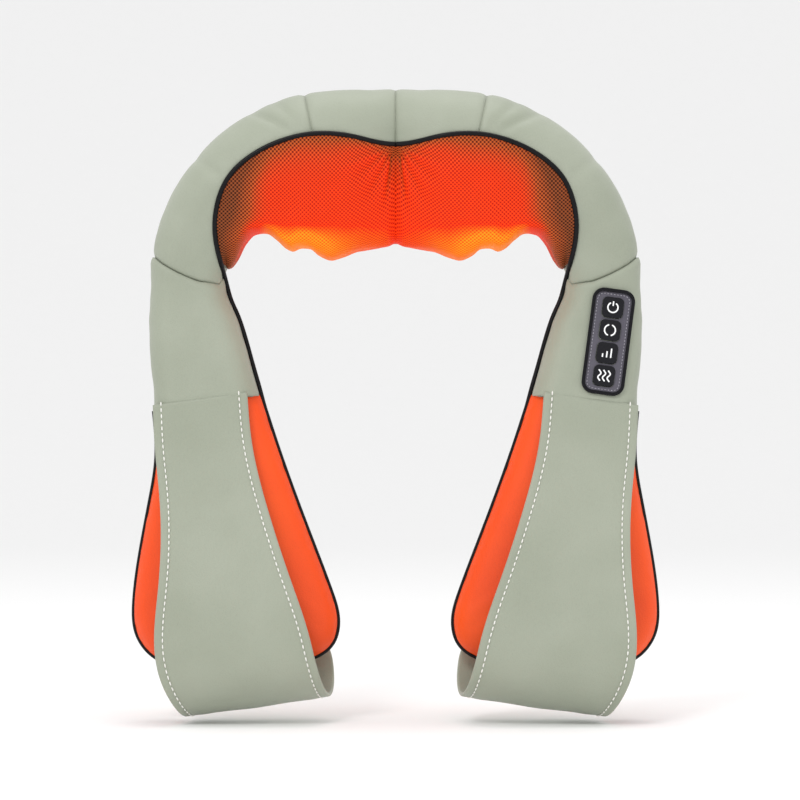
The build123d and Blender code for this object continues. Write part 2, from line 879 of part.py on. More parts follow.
with BuildPart() as pouch_foam:
    add(pouch_block(pouch_skin + lining_gap))
write_mirrored(pouch_foam, "pouch_foam")

strap_w0 = arm_thickness / 2 - skin / 2 - 0.3
strap_half = strap_thickness / 2
loop_w = loop_radius - strap_half - pouch_thickness / 2 - strap_half
front_w = loop_w + loop_radius - strap_half


def strap_front(offset):
    """Points down the front of the strap, from the hem to where the loop begins."""
    points = []
    for i in range(strap_steps + 1):
        s = i / strap_steps
        w = strap_w0 + (front_w - strap_w0) * s * s * (3 - 2 * s)
        slope = (front_w - strap_w0) * 6 * s * (1 - s) / loop_v
        size = sqrt(1 + slope * slope)
        points.append((w + offset / size, loop_v * s - offset * slope / size))
    return points


with BuildPart() as hand_strap:
    with BuildSketch(strap_plane):
        with BuildLine():
            outside = Spline(*strap_front(strap_half), tangents=[(0, -1), (0, -1)])
            CenterArc((loop_w, loop_v), loop_radius, 0, -180)
            Line((loop_w - loop_radius, loop_v), (loop_w - loop_radius, strap_end_v))
            Line(
                (loop_w - loop_radius, strap_end_v),
                (loop_w - loop_radius + strap_thickness, strap_end_v),
            )
            Line(
                (loop_w - loop_radius + strap_thickness, strap_end_v),
                (loop_w - loop_radius + strap_thickness, loop_v),
            )
            CenterArc((loop_w, loop_v), loop_radius - strap_thickness, 180, 180)
            inside = Spline(
                *reversed(strap_front(-strap_half)), tangents=[(0, 1), (0, 1)]
            )
            Line(inside @ 1, outside @ 0)
        make_face()
    extrude(amount=reach / 4, both=True)
    with BuildSketch(pouch_plane.offset(front_w)):
        with BuildLine():
            left = Spline(*strap_left)
            right = Spline(*strap_right)
            Line(left @ 0, right @ 0)
            Line(left @ 1, right @ 1)
        make_face()
    shear = -pouch_plane.z_dir + pouch_plane.x_dir * strap_shear
    extrude(amount=reach / 3, dir=shear, both=True, mode=Mode.INTERSECT)
write_mirrored(hand_strap, "hand_strap")

# ---- upper arms -----------------------------------------------------------------------------------------
panel_tilt = radians(panel_lean)
panel_tip = radians(panel_pitch)
panel_plane = Plane(
    origin=(panel_x, panel_y, panel_z),
    x_dir=(cos(panel_tilt), 0, -sin(panel_tilt)),
    z_dir=(sin(panel_tilt) * sin(panel_tip), -cos(panel_tip), cos(panel_tilt) * sin(panel_tip)),
)


def panel_block(w0, w1, draw=0.0):
    """The control panel's rounded outline, drawn in all round, between two heights."""
    with BuildPart() as made:
        with BuildSketch(panel_plane.offset(w0)):
            RectangleRounded(
                panel_width - 2 * draw, panel_length - 2 * draw, panel_corner - draw
            )
        extrude(amount=w1 - w0)
    return made.part


with BuildPart() as arm_shell:
    add(arm_solid(0.0))
    add(arm_solid(skin), mode=Mode.SUBTRACT)

with BuildPart() as arm_cover_left:
    add(arm_shell.part)
write(arm_cover_left, "arm_cover_left")

with BuildPart() as arm_cover_right:
    add(mirror(arm_shell.part, about=Plane.YZ))
    add(panel_block(-panel_depth, panel_depth), mode=Mode.SUBTRACT)
write(arm_cover_right, "arm_cover_right")

with BuildPart() as arm_foam_left:
    add(arm_solid(foam_inset))
write(arm_foam_left, "arm_foam_left")

with BuildPart() as arm_foam_right:
    add(mirror(arm_foam_left.part, about=Plane.YZ))
    add(panel_block(-panel_depth, panel_depth), mode=Mode.SUBTRACT)
write(arm_foam_right, "arm_foam_right")

# ---- control panel ----------------------------------------------------------------------------------------
key_names = ("key_power", "key_direction", "key_speed", "key_heat")
key_rows = [(1.5 - i) * key_pitch for i in range(len(key_names))]
floor_w = tray_wall - panel_depth
board_w = floor_w + board_thickness
pad_thickness = 2.0
flange_w = -pad_thickness - 0.15
switch_w = flange_w - flange_thickness - key_travel - 0.1

with BuildPart() as panel_tray:
    add(panel_block(-panel_depth, 0))
    add(panel_block(floor_w, panel_depth, tray_wall), mode=Mode.SUBTRACT)
write(panel_tray, "panel_tray")

with BuildPart() as panel_pad:
    add(panel_block(-pad_thickness, 0, tray_wall))
    with BuildSketch(panel_plane.offset(-pad_thickness)):
        with Locations(*[(0, v) for v in key_rows]):
            RectangleRounded(key_size + 2 * key_gap, key_size + 2 * key_gap, key_corner + key_gap)
    extrude(amount=pad_thickness, mode=Mode.SUBTRACT)
write(panel_pad, "panel_pad")

with BuildPart() as panel_rim:
    add(panel_block(0, rim_proud))
    add(panel_block(-1, rim_proud + 1, rim_width), mode=Mode.SUBTRACT)
write(panel_rim, "panel_rim")

with BuildPart() as keypad_board:
    add(panel_block(floor_w, board_w, tray_wall + 0.2))
write(keypad_board, "keypad_board")

with BuildPart() as key_switches:
    with BuildSketch(panel_plane.offset(board_w)):
        with Locations(*[(0, v) for v in key_rows]):
            Rectangle(6, 6)
    extrude(amount=switch_w - 0.5 - board_w)
    with BuildSketch(panel_plane.offset(switch_w - 0.5)):
        with Locations(*[(0, v) for v in key_rows]):
            Circle(1.4)
    extrude(amount=0.5)
write(key_switches, "key_switches")


def panel_key(v):
    """One square key: the cap through its window and the flange that keeps it in."""
    with BuildPart() as made:
        with BuildSketch(panel_plane.offset(flange_w)):
            with Locations((0, v)):
                RectangleRounded(key_size, key_size, key_corner)
        extrude(amount=key_proud - flange_w)
        with BuildSketch(panel_plane.offset(flange_w - flange_thickness)):
            with Locations((0, v)):
                Rectangle(key_size + 4, key_size - 1.5)
        extrude(amount=flange_thickness)
    return made


for name, v in zip(key_names, key_rows):
    write(panel_key(v), name)
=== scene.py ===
"""Looks of a shiatsu neck massager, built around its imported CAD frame.

Lengths in this file are millimetres in the frame's axes: +X to the right as seen from the front,
+Y backwards, +Z up. Meshes are scaled to metres as they are made. Every left-hand shape is built
first and the right-hand one is its mirror image.
"""

import logging
import math
from dataclasses import dataclass, field
from enum import Enum
from typing import Any, Callable, Iterable, Sequence

import bmesh
import bpy
import numpy as np
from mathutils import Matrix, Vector, noise


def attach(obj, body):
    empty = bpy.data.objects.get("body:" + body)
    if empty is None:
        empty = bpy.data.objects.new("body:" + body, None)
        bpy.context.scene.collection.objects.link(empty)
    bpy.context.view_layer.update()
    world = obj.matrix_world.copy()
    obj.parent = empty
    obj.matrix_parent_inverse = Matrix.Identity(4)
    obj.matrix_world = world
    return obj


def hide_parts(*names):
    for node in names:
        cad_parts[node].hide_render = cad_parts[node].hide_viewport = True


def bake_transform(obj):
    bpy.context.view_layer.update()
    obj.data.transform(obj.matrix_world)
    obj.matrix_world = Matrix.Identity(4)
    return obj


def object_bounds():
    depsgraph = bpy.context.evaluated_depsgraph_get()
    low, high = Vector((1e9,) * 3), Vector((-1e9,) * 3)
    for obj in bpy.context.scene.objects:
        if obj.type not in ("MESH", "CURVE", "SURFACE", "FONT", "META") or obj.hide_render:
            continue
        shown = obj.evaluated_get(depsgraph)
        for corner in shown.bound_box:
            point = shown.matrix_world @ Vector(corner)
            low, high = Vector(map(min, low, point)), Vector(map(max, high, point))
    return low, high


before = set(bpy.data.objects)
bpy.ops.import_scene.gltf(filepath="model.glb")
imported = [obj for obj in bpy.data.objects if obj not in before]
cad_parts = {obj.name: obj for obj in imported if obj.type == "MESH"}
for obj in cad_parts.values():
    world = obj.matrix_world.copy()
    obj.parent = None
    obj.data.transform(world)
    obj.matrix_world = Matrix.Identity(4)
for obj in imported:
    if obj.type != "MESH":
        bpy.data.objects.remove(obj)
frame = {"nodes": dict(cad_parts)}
cad_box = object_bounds()

log = logging.getLogger("massager")
MM = 0.001
Grid = np.ndarray
Face = tuple[int, ...]


class Side(Enum):
    """Which half of the massager a piece belongs to, as seen from the front."""

    LEFT = -1
    RIGHT = 1

    @property
    def word(self) -> str:
        """The side's name, as it ends node names."""
        return self.name.lower()

    @property
    def arm(self) -> str:
        """The CAD body of this side's arm."""
        return f"arm_{self.word}"

    def place(self, points: Grid) -> Grid:
        """Points of the left half, moved to this side."""
        return points * np.array([-self.value, 1.0, 1.0])


# ---- small tools --------------------------------------------------------------------------------
def smooth(x: Grid | float) -> Grid:
    """A smooth step from 0 to 1 as x goes from 0 to 1."""
    t = np.clip(x, 0.0, 1.0)
    return t * t * (3.0 - 2.0 * t)


def bump(x: Grid | float) -> Grid:
    """A bell of height 1 at x = 0 that is almost flat beyond 2 either side."""
    return np.exp(-np.square(x))


def resample(points: Sequence[Sequence[float]], step: float) -> Grid:
    """Points about one step apart along the smooth curve through the given points.

    Args:
        points: The curve's own points, in order.
        step: Distance between the new points.

    Returns:
        The new points, one a row.
    """
    knots = np.asarray(points, float)
    along = lengths(knots)
    count = max(int(along[-1] / step), 2) + 1
    return natural_curve(along, knots, np.linspace(0.0, along[-1], count))


def lengths(points: Grid) -> Grid:
    """The distance along a line of points at each of them."""
    hops = np.linalg.norm(np.diff(points, axis=0), axis=1)
    return np.concatenate([[0.0], np.cumsum(hops)])


def natural_curve(knots: Grid, values: Grid, at: Grid) -> Grid:
    """A natural cubic spline through values at the knots, read at new places.

    Args:
        knots: Increasing places of the values.
        values: One row of numbers for each knot.
        at: Where to read the curve.

    Returns:
        One row of numbers for each place.
    """
    count = len(knots)
    gap = np.diff(knots)
    system = np.eye(count)
    pull = np.zeros_like(values)
    for i in range(1, count - 1):
        system[i, i - 1] = gap[i - 1]
        system[i, i] = 2.0 * (gap[i - 1] + gap[i])
        system[i, i + 1] = gap[i]
        after = (values[i + 1] - values[i]) / gap[i]
        before = (values[i] - values[i - 1]) / gap[i - 1]
        pull[i] = 6.0 * (after - before)
    bend = np.linalg.solve(system, pull)
    where = np.clip(np.searchsorted(knots, at) - 1, 0, count - 2)
    width = gap[where][..., None]
    low = (at - knots[where])[..., None]
    high = (knots[where + 1] - at)[..., None]
    curved = (bend[where] * high**3 + bend[where + 1] * low**3) / (6.0 * width)
    flat = (values[where] / width - bend[where] * width / 6.0) * high
    return curved + flat + (values[where + 1] / width - bend[where + 1] * width / 6.0) * low


def gentle_curve(knots: Grid, values: Grid, at: Grid) -> Grid:
    """A cubic curve through values that never overshoots them, read at new places."""
    gap = np.diff(knots)[:, None]
    slope = np.diff(values, axis=0) / gap
    same = slope[:-1] * slope[1:] > 0
    mean = 2.0 * slope[:-1] * slope[1:] / np.where(same, slope[:-1] + slope[1:], 1.0)
    tangent = np.concatenate([slope[:1], np.where(same, mean, 0.0), slope[-1:]])
    where = np.clip(np.searchsorted(knots, at) - 1, 0, len(knots) - 2)
    width = gap[where]
    t = ((at - knots[where])[..., None]) / width
    rise = values[where] * (2 * t**3 - 3 * t**2 + 1) + values[where + 1] * (3 * t**2 - 2 * t**3)
    lean = tangent[where] * (t**3 - 2 * t**2 + t) + tangent[where + 1] * (t**3 - t**2)
    return rise + lean * width


def unit(vectors: Grid) -> Grid:
    """Vectors, each scaled to length 1."""
    size = np.linalg.norm(vectors, axis=-1, keepdims=True)
    return vectors / np.maximum(size, 1e-9)


def grid_normals(points: Grid, wrapped: bool) -> Grid:
    """The unit normals of a grid of points, rows along the first axis.

    Args:
        points: The grid, rows by columns by three.
        wrapped: Whether the last column joins the first.

    Returns:
        One unit vector for each point, pointing along rows cross columns.
    """
    down = np.gradient(points, axis=0)
    if wrapped:
        across = np.roll(points, -1, axis=1) - np.roll(points, 1, axis=1)
    else:
        across = np.gradient(points, axis=1)
    return unit(np.cross(down, across))


def soft_noise(points: Grid, size: float, seed: float) -> Grid:
    """Smooth noise from about -1 to 1 at each point, with bumps about the given size."""
    flat = points.reshape(-1, 3) / size + seed
    values = [noise.noise(Vector(p)) for p in flat]
    return np.array(values).reshape(points.shape[:-1]) * 1.6


def grid_faces(rows: int, columns: int, wrapped: bool) -> list[Face]:
    """Quads of a grid whose points are numbered row by row."""
    faces = []
    last = columns if wrapped else columns - 1
    for i in range(rows - 1):
        for j in range(last):
            k = (j + 1) % columns
            faces.append((i * columns + j, i * columns + k, (i + 1) * columns + k, (i + 1) * columns + j))
    return faces


def mesh_piece(name: str, points: Grid, faces: Iterable[Face], side: Side = Side.LEFT) -> bpy.types.Object:
    """A smooth-shaded mesh object whose faces point outwards.

    Args:
        name: The piece's name.
        points: Its points on the left half, in millimetres.
        faces: Its faces, any way round.
        side: The side it is wanted on.

    Returns:
        The new object, at the origin.
    """
    mesh = bpy.data.meshes.new(name)
    placed = side.place(np.asarray(points, float).reshape(-1, 3)) * MM
    mesh.from_pydata(placed.tolist(), [], [tuple(f) for f in faces])
    tidy = bmesh.new()
    tidy.from_mesh(mesh)
    loose = [point for point in tidy.verts if not point.link_faces]
    bmesh.ops.delete(tidy, geom=loose, context="VERTS")
    bmesh.ops.recalc_face_normals(tidy, faces=tidy.faces)
    tidy.to_mesh(mesh)
    tidy.free()
    mesh.polygons.foreach_set("use_smooth", [True] * len(mesh.polygons))
    piece = bpy.data.objects.new(name, mesh)
    bpy.context.scene.collection.objects.link(piece)
    return piece


def tube_piece(name: str, path: Grid, radius: float, side: Side, ring: int = 12) -> bpy.types.Object:
    """A round cord with closed ends along a path of points."""
    ahead = unit(np.gradient(path, axis=0))
    across = np.zeros_like(path)
    start = np.array([0.0, 1.0, 0.0]) if abs(ahead[0][1]) < 0.9 else np.array([1.0, 0.0, 0.0])
    for i, tangent in enumerate(ahead):
        start = start - tangent * float(start @ tangent)
        start = start / np.linalg.norm(start)
        across[i] = start
    other = np.cross(ahead, across)
    turn = np.linspace(0.0, 2.0 * math.pi, ring, endpoint=False)
    circle = across[:, None] * np.cos(turn)[None, :, None] + other[:, None] * np.sin(turn)[None, :, None]
    points = (path[:, None] + circle * radius).reshape(-1, 3)
    faces = grid_faces(len(path), ring, True)
    faces.append(tuple(range(ring)))
    faces.append(tuple(range(len(points) - ring, len(points))))
    return mesh_piece(name, points, faces, side)


def set_attribute(piece: bpy.types.Object, name: str, values: Grid) -> None:
    """Store one number for each point of a piece, for its material to read."""
    attribute = piece.data.attributes.new(name, "FLOAT", "POINT")
    attribute.data.foreach_set("value", np.asarray(values, np.float32).ravel())


def set_map(piece: bpy.types.Object, across: Grid, along: Grid) -> None:
    """Give a piece a UV map in millimetres from two numbers for each of its points."""
    layer = piece.data.uv_layers.new(name="cloth")
    index = np.zeros(len(piece.data.loops), np.int32)
    piece.data.loops.foreach_get("vertex_index", index)
    pairs = np.stack([across.ravel()[index], along.ravel()[index]], axis=1)
    layer.data.foreach_set("uv", pairs.astype(np.float32).ravel())


# ---- finishes -----------------------------------------------------------------------------------
class Graph:
    """A material's node tree, with short calls to add and join its nodes."""

    def __init__(self, name: str) -> None:
        """Start a material with one Principled shader."""
        self.material = bpy.data.materials.new(name)
        self.material.use_nodes = True
        self.tree = self.material.node_tree
        self.tree.nodes.clear()
        self.shader = self.tree.nodes.new("ShaderNodeBsdfPrincipled")
        output = self.tree.nodes.new("ShaderNodeOutputMaterial")
        self.tree.links.new(self.shader.outputs["BSDF"], output.inputs["Surface"])

    def add(self, kind: str, inputs: dict[Any, Any] | None = None, **settings: Any) -> bpy.types.Node:
        """Add a node, with its settings and with values or sockets on its inputs."""
        node = self.tree.nodes.new(kind)
        for key, value in settings.items():
            setattr(node, key, value)
        for key, value in (inputs or {}).items():
            self.put(node.inputs[key], value)
        return node

    def put(self, socket: bpy.types.NodeSocket, value: Any) -> None:
        """Set an input to a value, or link a socket to it."""
        if isinstance(value, bpy.types.NodeSocket):
            self.tree.links.new(value, socket)
        else:
            socket.default_value = value

    def surface(self, **values: Any) -> None:
        """Set inputs of the shader, with underscores for spaces in their names."""
        for key, value in values.items():
            self.put(self.shader.inputs[key.replace("_", " ")], value)

    def place(self) -> bpy.types.NodeSocket:
        """Object coordinates, in metres."""
        return self.add("ShaderNodeTexCoord").outputs["Object"]

    def noise(self, scale: float, detail: float = 3.0, where: Any = None) -> bpy.types.NodeSocket:
        """Noise at so many bumps a metre."""
        found = where if where is not None else self.place()
        inputs = {"Vector": found, "Scale": scale, "Detail": detail}
        return self.add("ShaderNodeTexNoise", inputs).outputs["Fac"]

    def cells(self, scale: float, feature: str = "F1") -> bpy.types.NodeSocket:
        """Distance within cells at so many a metre."""
        inputs = {"Vector": self.place(), "Scale": scale}
        return self.add("ShaderNodeTexVoronoi", inputs, feature=feature).outputs["Distance"]

    def ramp(self, value: Any, stops: Sequence[tuple[float, tuple[float, ...]]]) -> bpy.types.NodeSocket:
        """Colours from a number, through stops of place and colour."""
        node = self.add("ShaderNodeValToRGB", {"Fac": value})
        elements = node.color_ramp.elements
        while len(elements) < len(stops):
            elements.new(0.5)
        for element, (place, color) in zip(elements, stops):
            element.position = place
            element.color = (*color[:3], 1.0)
        return node.outputs["Color"]

    def blend(self, share: Any, first: Any, second: Any, mode: str = "MIX") -> bpy.types.NodeSocket:
        """Two colours mixed by a share."""
        node = self.add("ShaderNodeMix", data_type="RGBA", blend_type=mode)
        self.put(node.inputs[0], share)
        self.put(node.inputs[6], first)
        self.put(node.inputs[7], second)
        return node.outputs[2]

    def sum(self, operation: str, first: Any, second: Any = 0.0, third: Any = 0.0) -> bpy.types.NodeSocket:
        """One step of arithmetic on two or three numbers."""
        node = self.add("ShaderNodeMath", operation=operation)
        for socket, value in zip(node.inputs, (first, second, third)):
            self.put(socket, value)
        return node.outputs[0]

    def spread(self, value: Any, low: float, high: float, to_low: float, to_high: float) -> bpy.types.NodeSocket:
        """A number carried from one range to another, and kept inside it."""
        inputs = {"Value": value, "From Min": low, "From Max": high, "To Min": to_low, "To Max": to_high}
        return self.add("ShaderNodeMapRange", inputs).outputs["Result"]

    def relief(self, height: Any, strength: float, distance: float, under: Any = None) -> bpy.types.NodeSocket:
        """A bump from a height, over an earlier bump if there is one."""
        inputs = {"Height": height, "Strength": strength, "Distance": distance}
        node = self.add("ShaderNodeBump", inputs)
        if under is not None:
            self.put(node.inputs["Normal"], under)
        return node.outputs["Normal"]


Color = tuple[float, float, float]


@dataclass(frozen=True)
class Leather:
    """Soft coated leather with a fine pebbled grain."""

    name: str
    base: Color
    shade: Color
    roughness: float = 0.52
    grain_scale: float = 900.0
    grain_depth: float = 0.00025
    sheen: float = 0.15

    def material(self) -> bpy.types.Material:
        """Build the node tree."""
        graph = Graph(self.name)
        cells = graph.cells(self.grain_scale)
        fine = graph.noise(2600.0, 2.0)
        broad = graph.noise(14.0, 2.0)
        tint = graph.blend(graph.spread(broad, 0.3, 0.7, 0.0, 1.0), (*self.shade, 1), (*self.base, 1))
        pits = graph.spread(cells, 0.0, 0.55, 0.9, 1.04)
        color = graph.blend(1.0, tint, graph.ramp(pits, [(0.0, (0, 0, 0)), (1.0, (1, 1, 1))]), "MULTIPLY")
        graph.surface(Base_Color=color)
        graph.surface(Roughness=graph.spread(fine, 0.3, 0.7, self.roughness - 0.06, self.roughness + 0.08))
        coarse = graph.relief(cells, 0.35, self.grain_depth)
        graph.surface(Normal=graph.relief(fine, 0.15, self.grain_depth, coarse))
        graph.surface(Sheen_Weight=self.sheen, Sheen_Roughness=0.5, Specular_IOR_Level=0.42)
        return graph.material


@dataclass(frozen=True)
class GlowingMesh:
    """Open knit over red lamps: dark holes in a ground that glows with painted lamp light, with painted shade near the
    piping.
    """

    name: str = "orange_mesh_glow"
    pitch: float = 2.15

    def material(self) -> bpy.types.Material:
        """Build the node tree; it reads the attribute glow and the cloth map."""
        graph = Graph(self.name)
        cloth = graph.add("ShaderNodeUVMap", uv_map="cloth").outputs["UV"]
        parts = graph.add("ShaderNodeSeparateXYZ", {"Vector": cloth})
        turn = 2.0 * math.pi / (self.pitch * math.sqrt(2.0))
        plus = graph.sum("ADD", parts.outputs[0], parts.outputs[1])
        minus = graph.sum("SUBTRACT", parts.outputs[0], parts.outputs[1])
        first = graph.sum("COSINE", graph.sum("MULTIPLY", plus, turn))
        second = graph.sum("COSINE", graph.sum("MULTIPLY", minus, turn))
        wave = graph.sum("ADD", first, second)
        hole = graph.spread(wave, -0.35, 0.75, 0.0, 1.0)
        glow = graph.add("ShaderNodeAttribute", attribute_name="glow").outputs["Fac"]
        uneven = graph.sum("MULTIPLY_ADD", graph.noise(22.0, 2.0), 0.16, -0.08)
        level = graph.sum("ADD", glow, uneven)
        # Painted light and shade: the glow level runs from painted shade in brown, through the red of painted lamp
        # light, to a painted orange-yellow pool.
        ground = graph.ramp(
            level,
            [
                (0.0, (0.20, 0.050, 0.014)),
                (0.25, (0.42, 0.075, 0.014)),
                (0.5, (0.74, 0.042, 0.004)),
                (0.7, (0.80, 0.040, 0.002)),
                (1.0, (0.82, 0.25, 0.008)),
            ],
        )
        holes = graph.ramp(
            level,
            [
                (0.0, (0.025, 0.004, 0.001)),
                (0.25, (0.075, 0.005, 0.001)),
                (0.5, (0.34, 0.006, 0.0)),
                (0.7, (0.50, 0.008, 0.0)),
                (1.0, (0.68, 0.085, 0.002)),
            ],
        )
        color = graph.blend(hole, ground, holes)
        # The same colour is also emitted, so the cloth itself glows with the painted lamp light though it is no lamp.
        graph.surface(Base_Color=color, Emission_Color=color, Emission_Strength=0.42)
        graph.surface(Roughness=0.62, Specular_IOR_Level=0.15)
        graph.surface(Normal=graph.relief(graph.sum("SUBTRACT", 1.0, hole), 0.7, 0.0006))
        return graph.material


@dataclass(frozen=True)
class Moulded:
    """Moulded plastic, rubber or coated cord with a faint grain."""

    name: str
    base: Color
    roughness: float = 0.4
    grain_scale: float = 1600.0
    grain_depth: float = 0.00008
    metallic: float = 0.0
    coat: float = 0.0
    glow: float = 0.0
    gloss: float = 0.5
    mottle: float = 0.86

    def material(self) -> bpy.types.Material:
        """Build the node tree."""
        graph = Graph(self.name)
        grain = graph.noise(self.grain_scale, 3.0)
        broad = graph.noise(40.0, 2.0)
        dim = tuple(c * self.mottle for c in self.base)
        graph.surface(Base_Color=graph.blend(broad, (*dim, 1), (*self.base, 1)))
        graph.surface(Roughness=graph.spread(grain, 0.3, 0.7, self.roughness - 0.05, self.roughness + 0.06))
        graph.surface(Normal=graph.relief(grain, 0.25, self.grain_depth))
        graph.surface(Metallic=self.metallic, Specular_IOR_Level=self.gloss)
        graph.surface(Coat_Weight=self.coat, Coat_Roughness=0.12)
        if self.glow:
            graph.surface(Emission_Color=(*self.base, 1), Emission_Strength=self.glow)
        return graph.material


SAGE = Leather("sage_leather", (0.348, 0.376, 0.298), (0.310, 0.338, 0.262))
# A lighter copy of the sage leather for the hem band, standing in for the light it catches: a painted highlight.
SAGE_HEM_LIT = Leather("sage_hem_painted_light", (0.455, 0.486, 0.400), (0.42, 0.45, 0.366))
ORANGE = Leather("orange_leather", (0.95, 0.090, 0.001), (0.88, 0.070, 0.001), 0.5, sheen=0.0)
PIPING = Moulded("black_piping", (0.005, 0.005, 0.006), 0.36, 900.0, 0.0002, gloss=0.16)
THREAD = Moulded("white_thread", (0.92, 0.91, 0.86), 0.6, 4000.0, 0.0001)
ICON = Moulded("icon_white", (0.85, 0.86, 0.86), 0.4, 2500.0, 0.00002, glow=0.25)
PAD_STITCH = Moulded("pad_stitch", (0.52, 0.50, 0.56), 0.6, 4000.0, 0.0001)
PAD = Leather("panel_pad", (0.105, 0.098, 0.125), (0.082, 0.076, 0.100), 0.45, 1100.0)
RIM = Moulded("rim_black", (0.005, 0.005, 0.007), 0.28, 1500.0, 0.00004, coat=0.05, gloss=0.15)
KEY = Moulded("key_black", (0.006, 0.006, 0.009), 0.24, 1800.0, 0.00003, coat=0.08, gloss=0.2)
CASE = Moulded("case_plastic", (0.10, 0.10, 0.11), 0.5)
NODE = Moulded("node_plastic", (0.30, 0.06, 0.03), 0.35)
CARRIER = Moulded("carrier_plastic", (0.12, 0.12, 0.13), 0.45)
NYLON = Moulded("wheel_nylon", (0.72, 0.70, 0.62), 0.45)
BRASS = Moulded("brass", (0.60, 0.42, 0.14), 0.3, 2000.0, 0.00003, metallic=1.0)
STEEL = Moulded("steel", (0.55, 0.56, 0.58), 0.28, 2000.0, 0.00003, metallic=1.0)
BOARD = Moulded("board_green", (0.02, 0.12, 0.05), 0.4)
COMPONENT = Moulded("component_black", (0.02, 0.02, 0.02), 0.45)
LAMP = Moulded("lamp_red", (0.9, 0.03, 0.01), 0.2, glow=1.5)
INLET = Moulded("inlet_black", (0.010, 0.010, 0.011), 0.32, 1500.0, 0.00004, coat=0.05, gloss=0.25)
LEAD = Moulded("lead_black", (0.02, 0.02, 0.022), 0.5)

# The finish of each CAD node that is shown as it is, by the start of its name.
NODE_FINISHES: dict[str, Any] = {
    "housing_screws": STEEL,
    "housing": CASE,
    "motor_shaft": STEEL,
    "motor": STEEL,
    "bush": BRASS,
    "worm_wheel": NYLON,
    "worm": BRASS,
    "spindle": STEEL,
    "carrier": CARRIER,
    "node": NODE,
    "heater_board": BOARD,
    "heater_leds": LAMP,
    "control_board": BOARD,
    "board_components": COMPONENT,
    "keypad_board": BOARD,
    "key_switches": COMPONENT,
    "key": KEY,
    "dc_jack": INLET,
    "dc_bezel": INLET,
    "power_lead": LEAD,
    "panel_pad": PAD,
    "panel": RIM,
}


class Wardrobe:
    """Builds each finish once and hands out its material."""

    def __init__(self) -> None:
        """Start with nothing built."""
        self.made: dict[str, bpy.types.Material] = {}

    def dress(self, piece: bpy.types.Object, finish: Any) -> None:
        """Give a piece one finish."""
        piece.data.materials.clear()
        piece.data.materials.append(self.get(finish))

    def get(self, finish: Any) -> bpy.types.Material:
        """The material of a finish."""
        if finish.name not in self.made:
            self.made[finish.name] = finish.material()
        return self.made[finish.name]


# ---- the padded body ----------------------------------------------------------------------------
class Stretch(Enum):
    """The stretches of a section's outline, in order, starting at its inner front corner."""

    FRONT = 0
    OUTER_FRONT = 1
    OUTER = 2
    OUTER_BACK = 3
    BACK = 4
    INNER_BACK = 5
    INNER = 6
    INNER_FRONT = 7


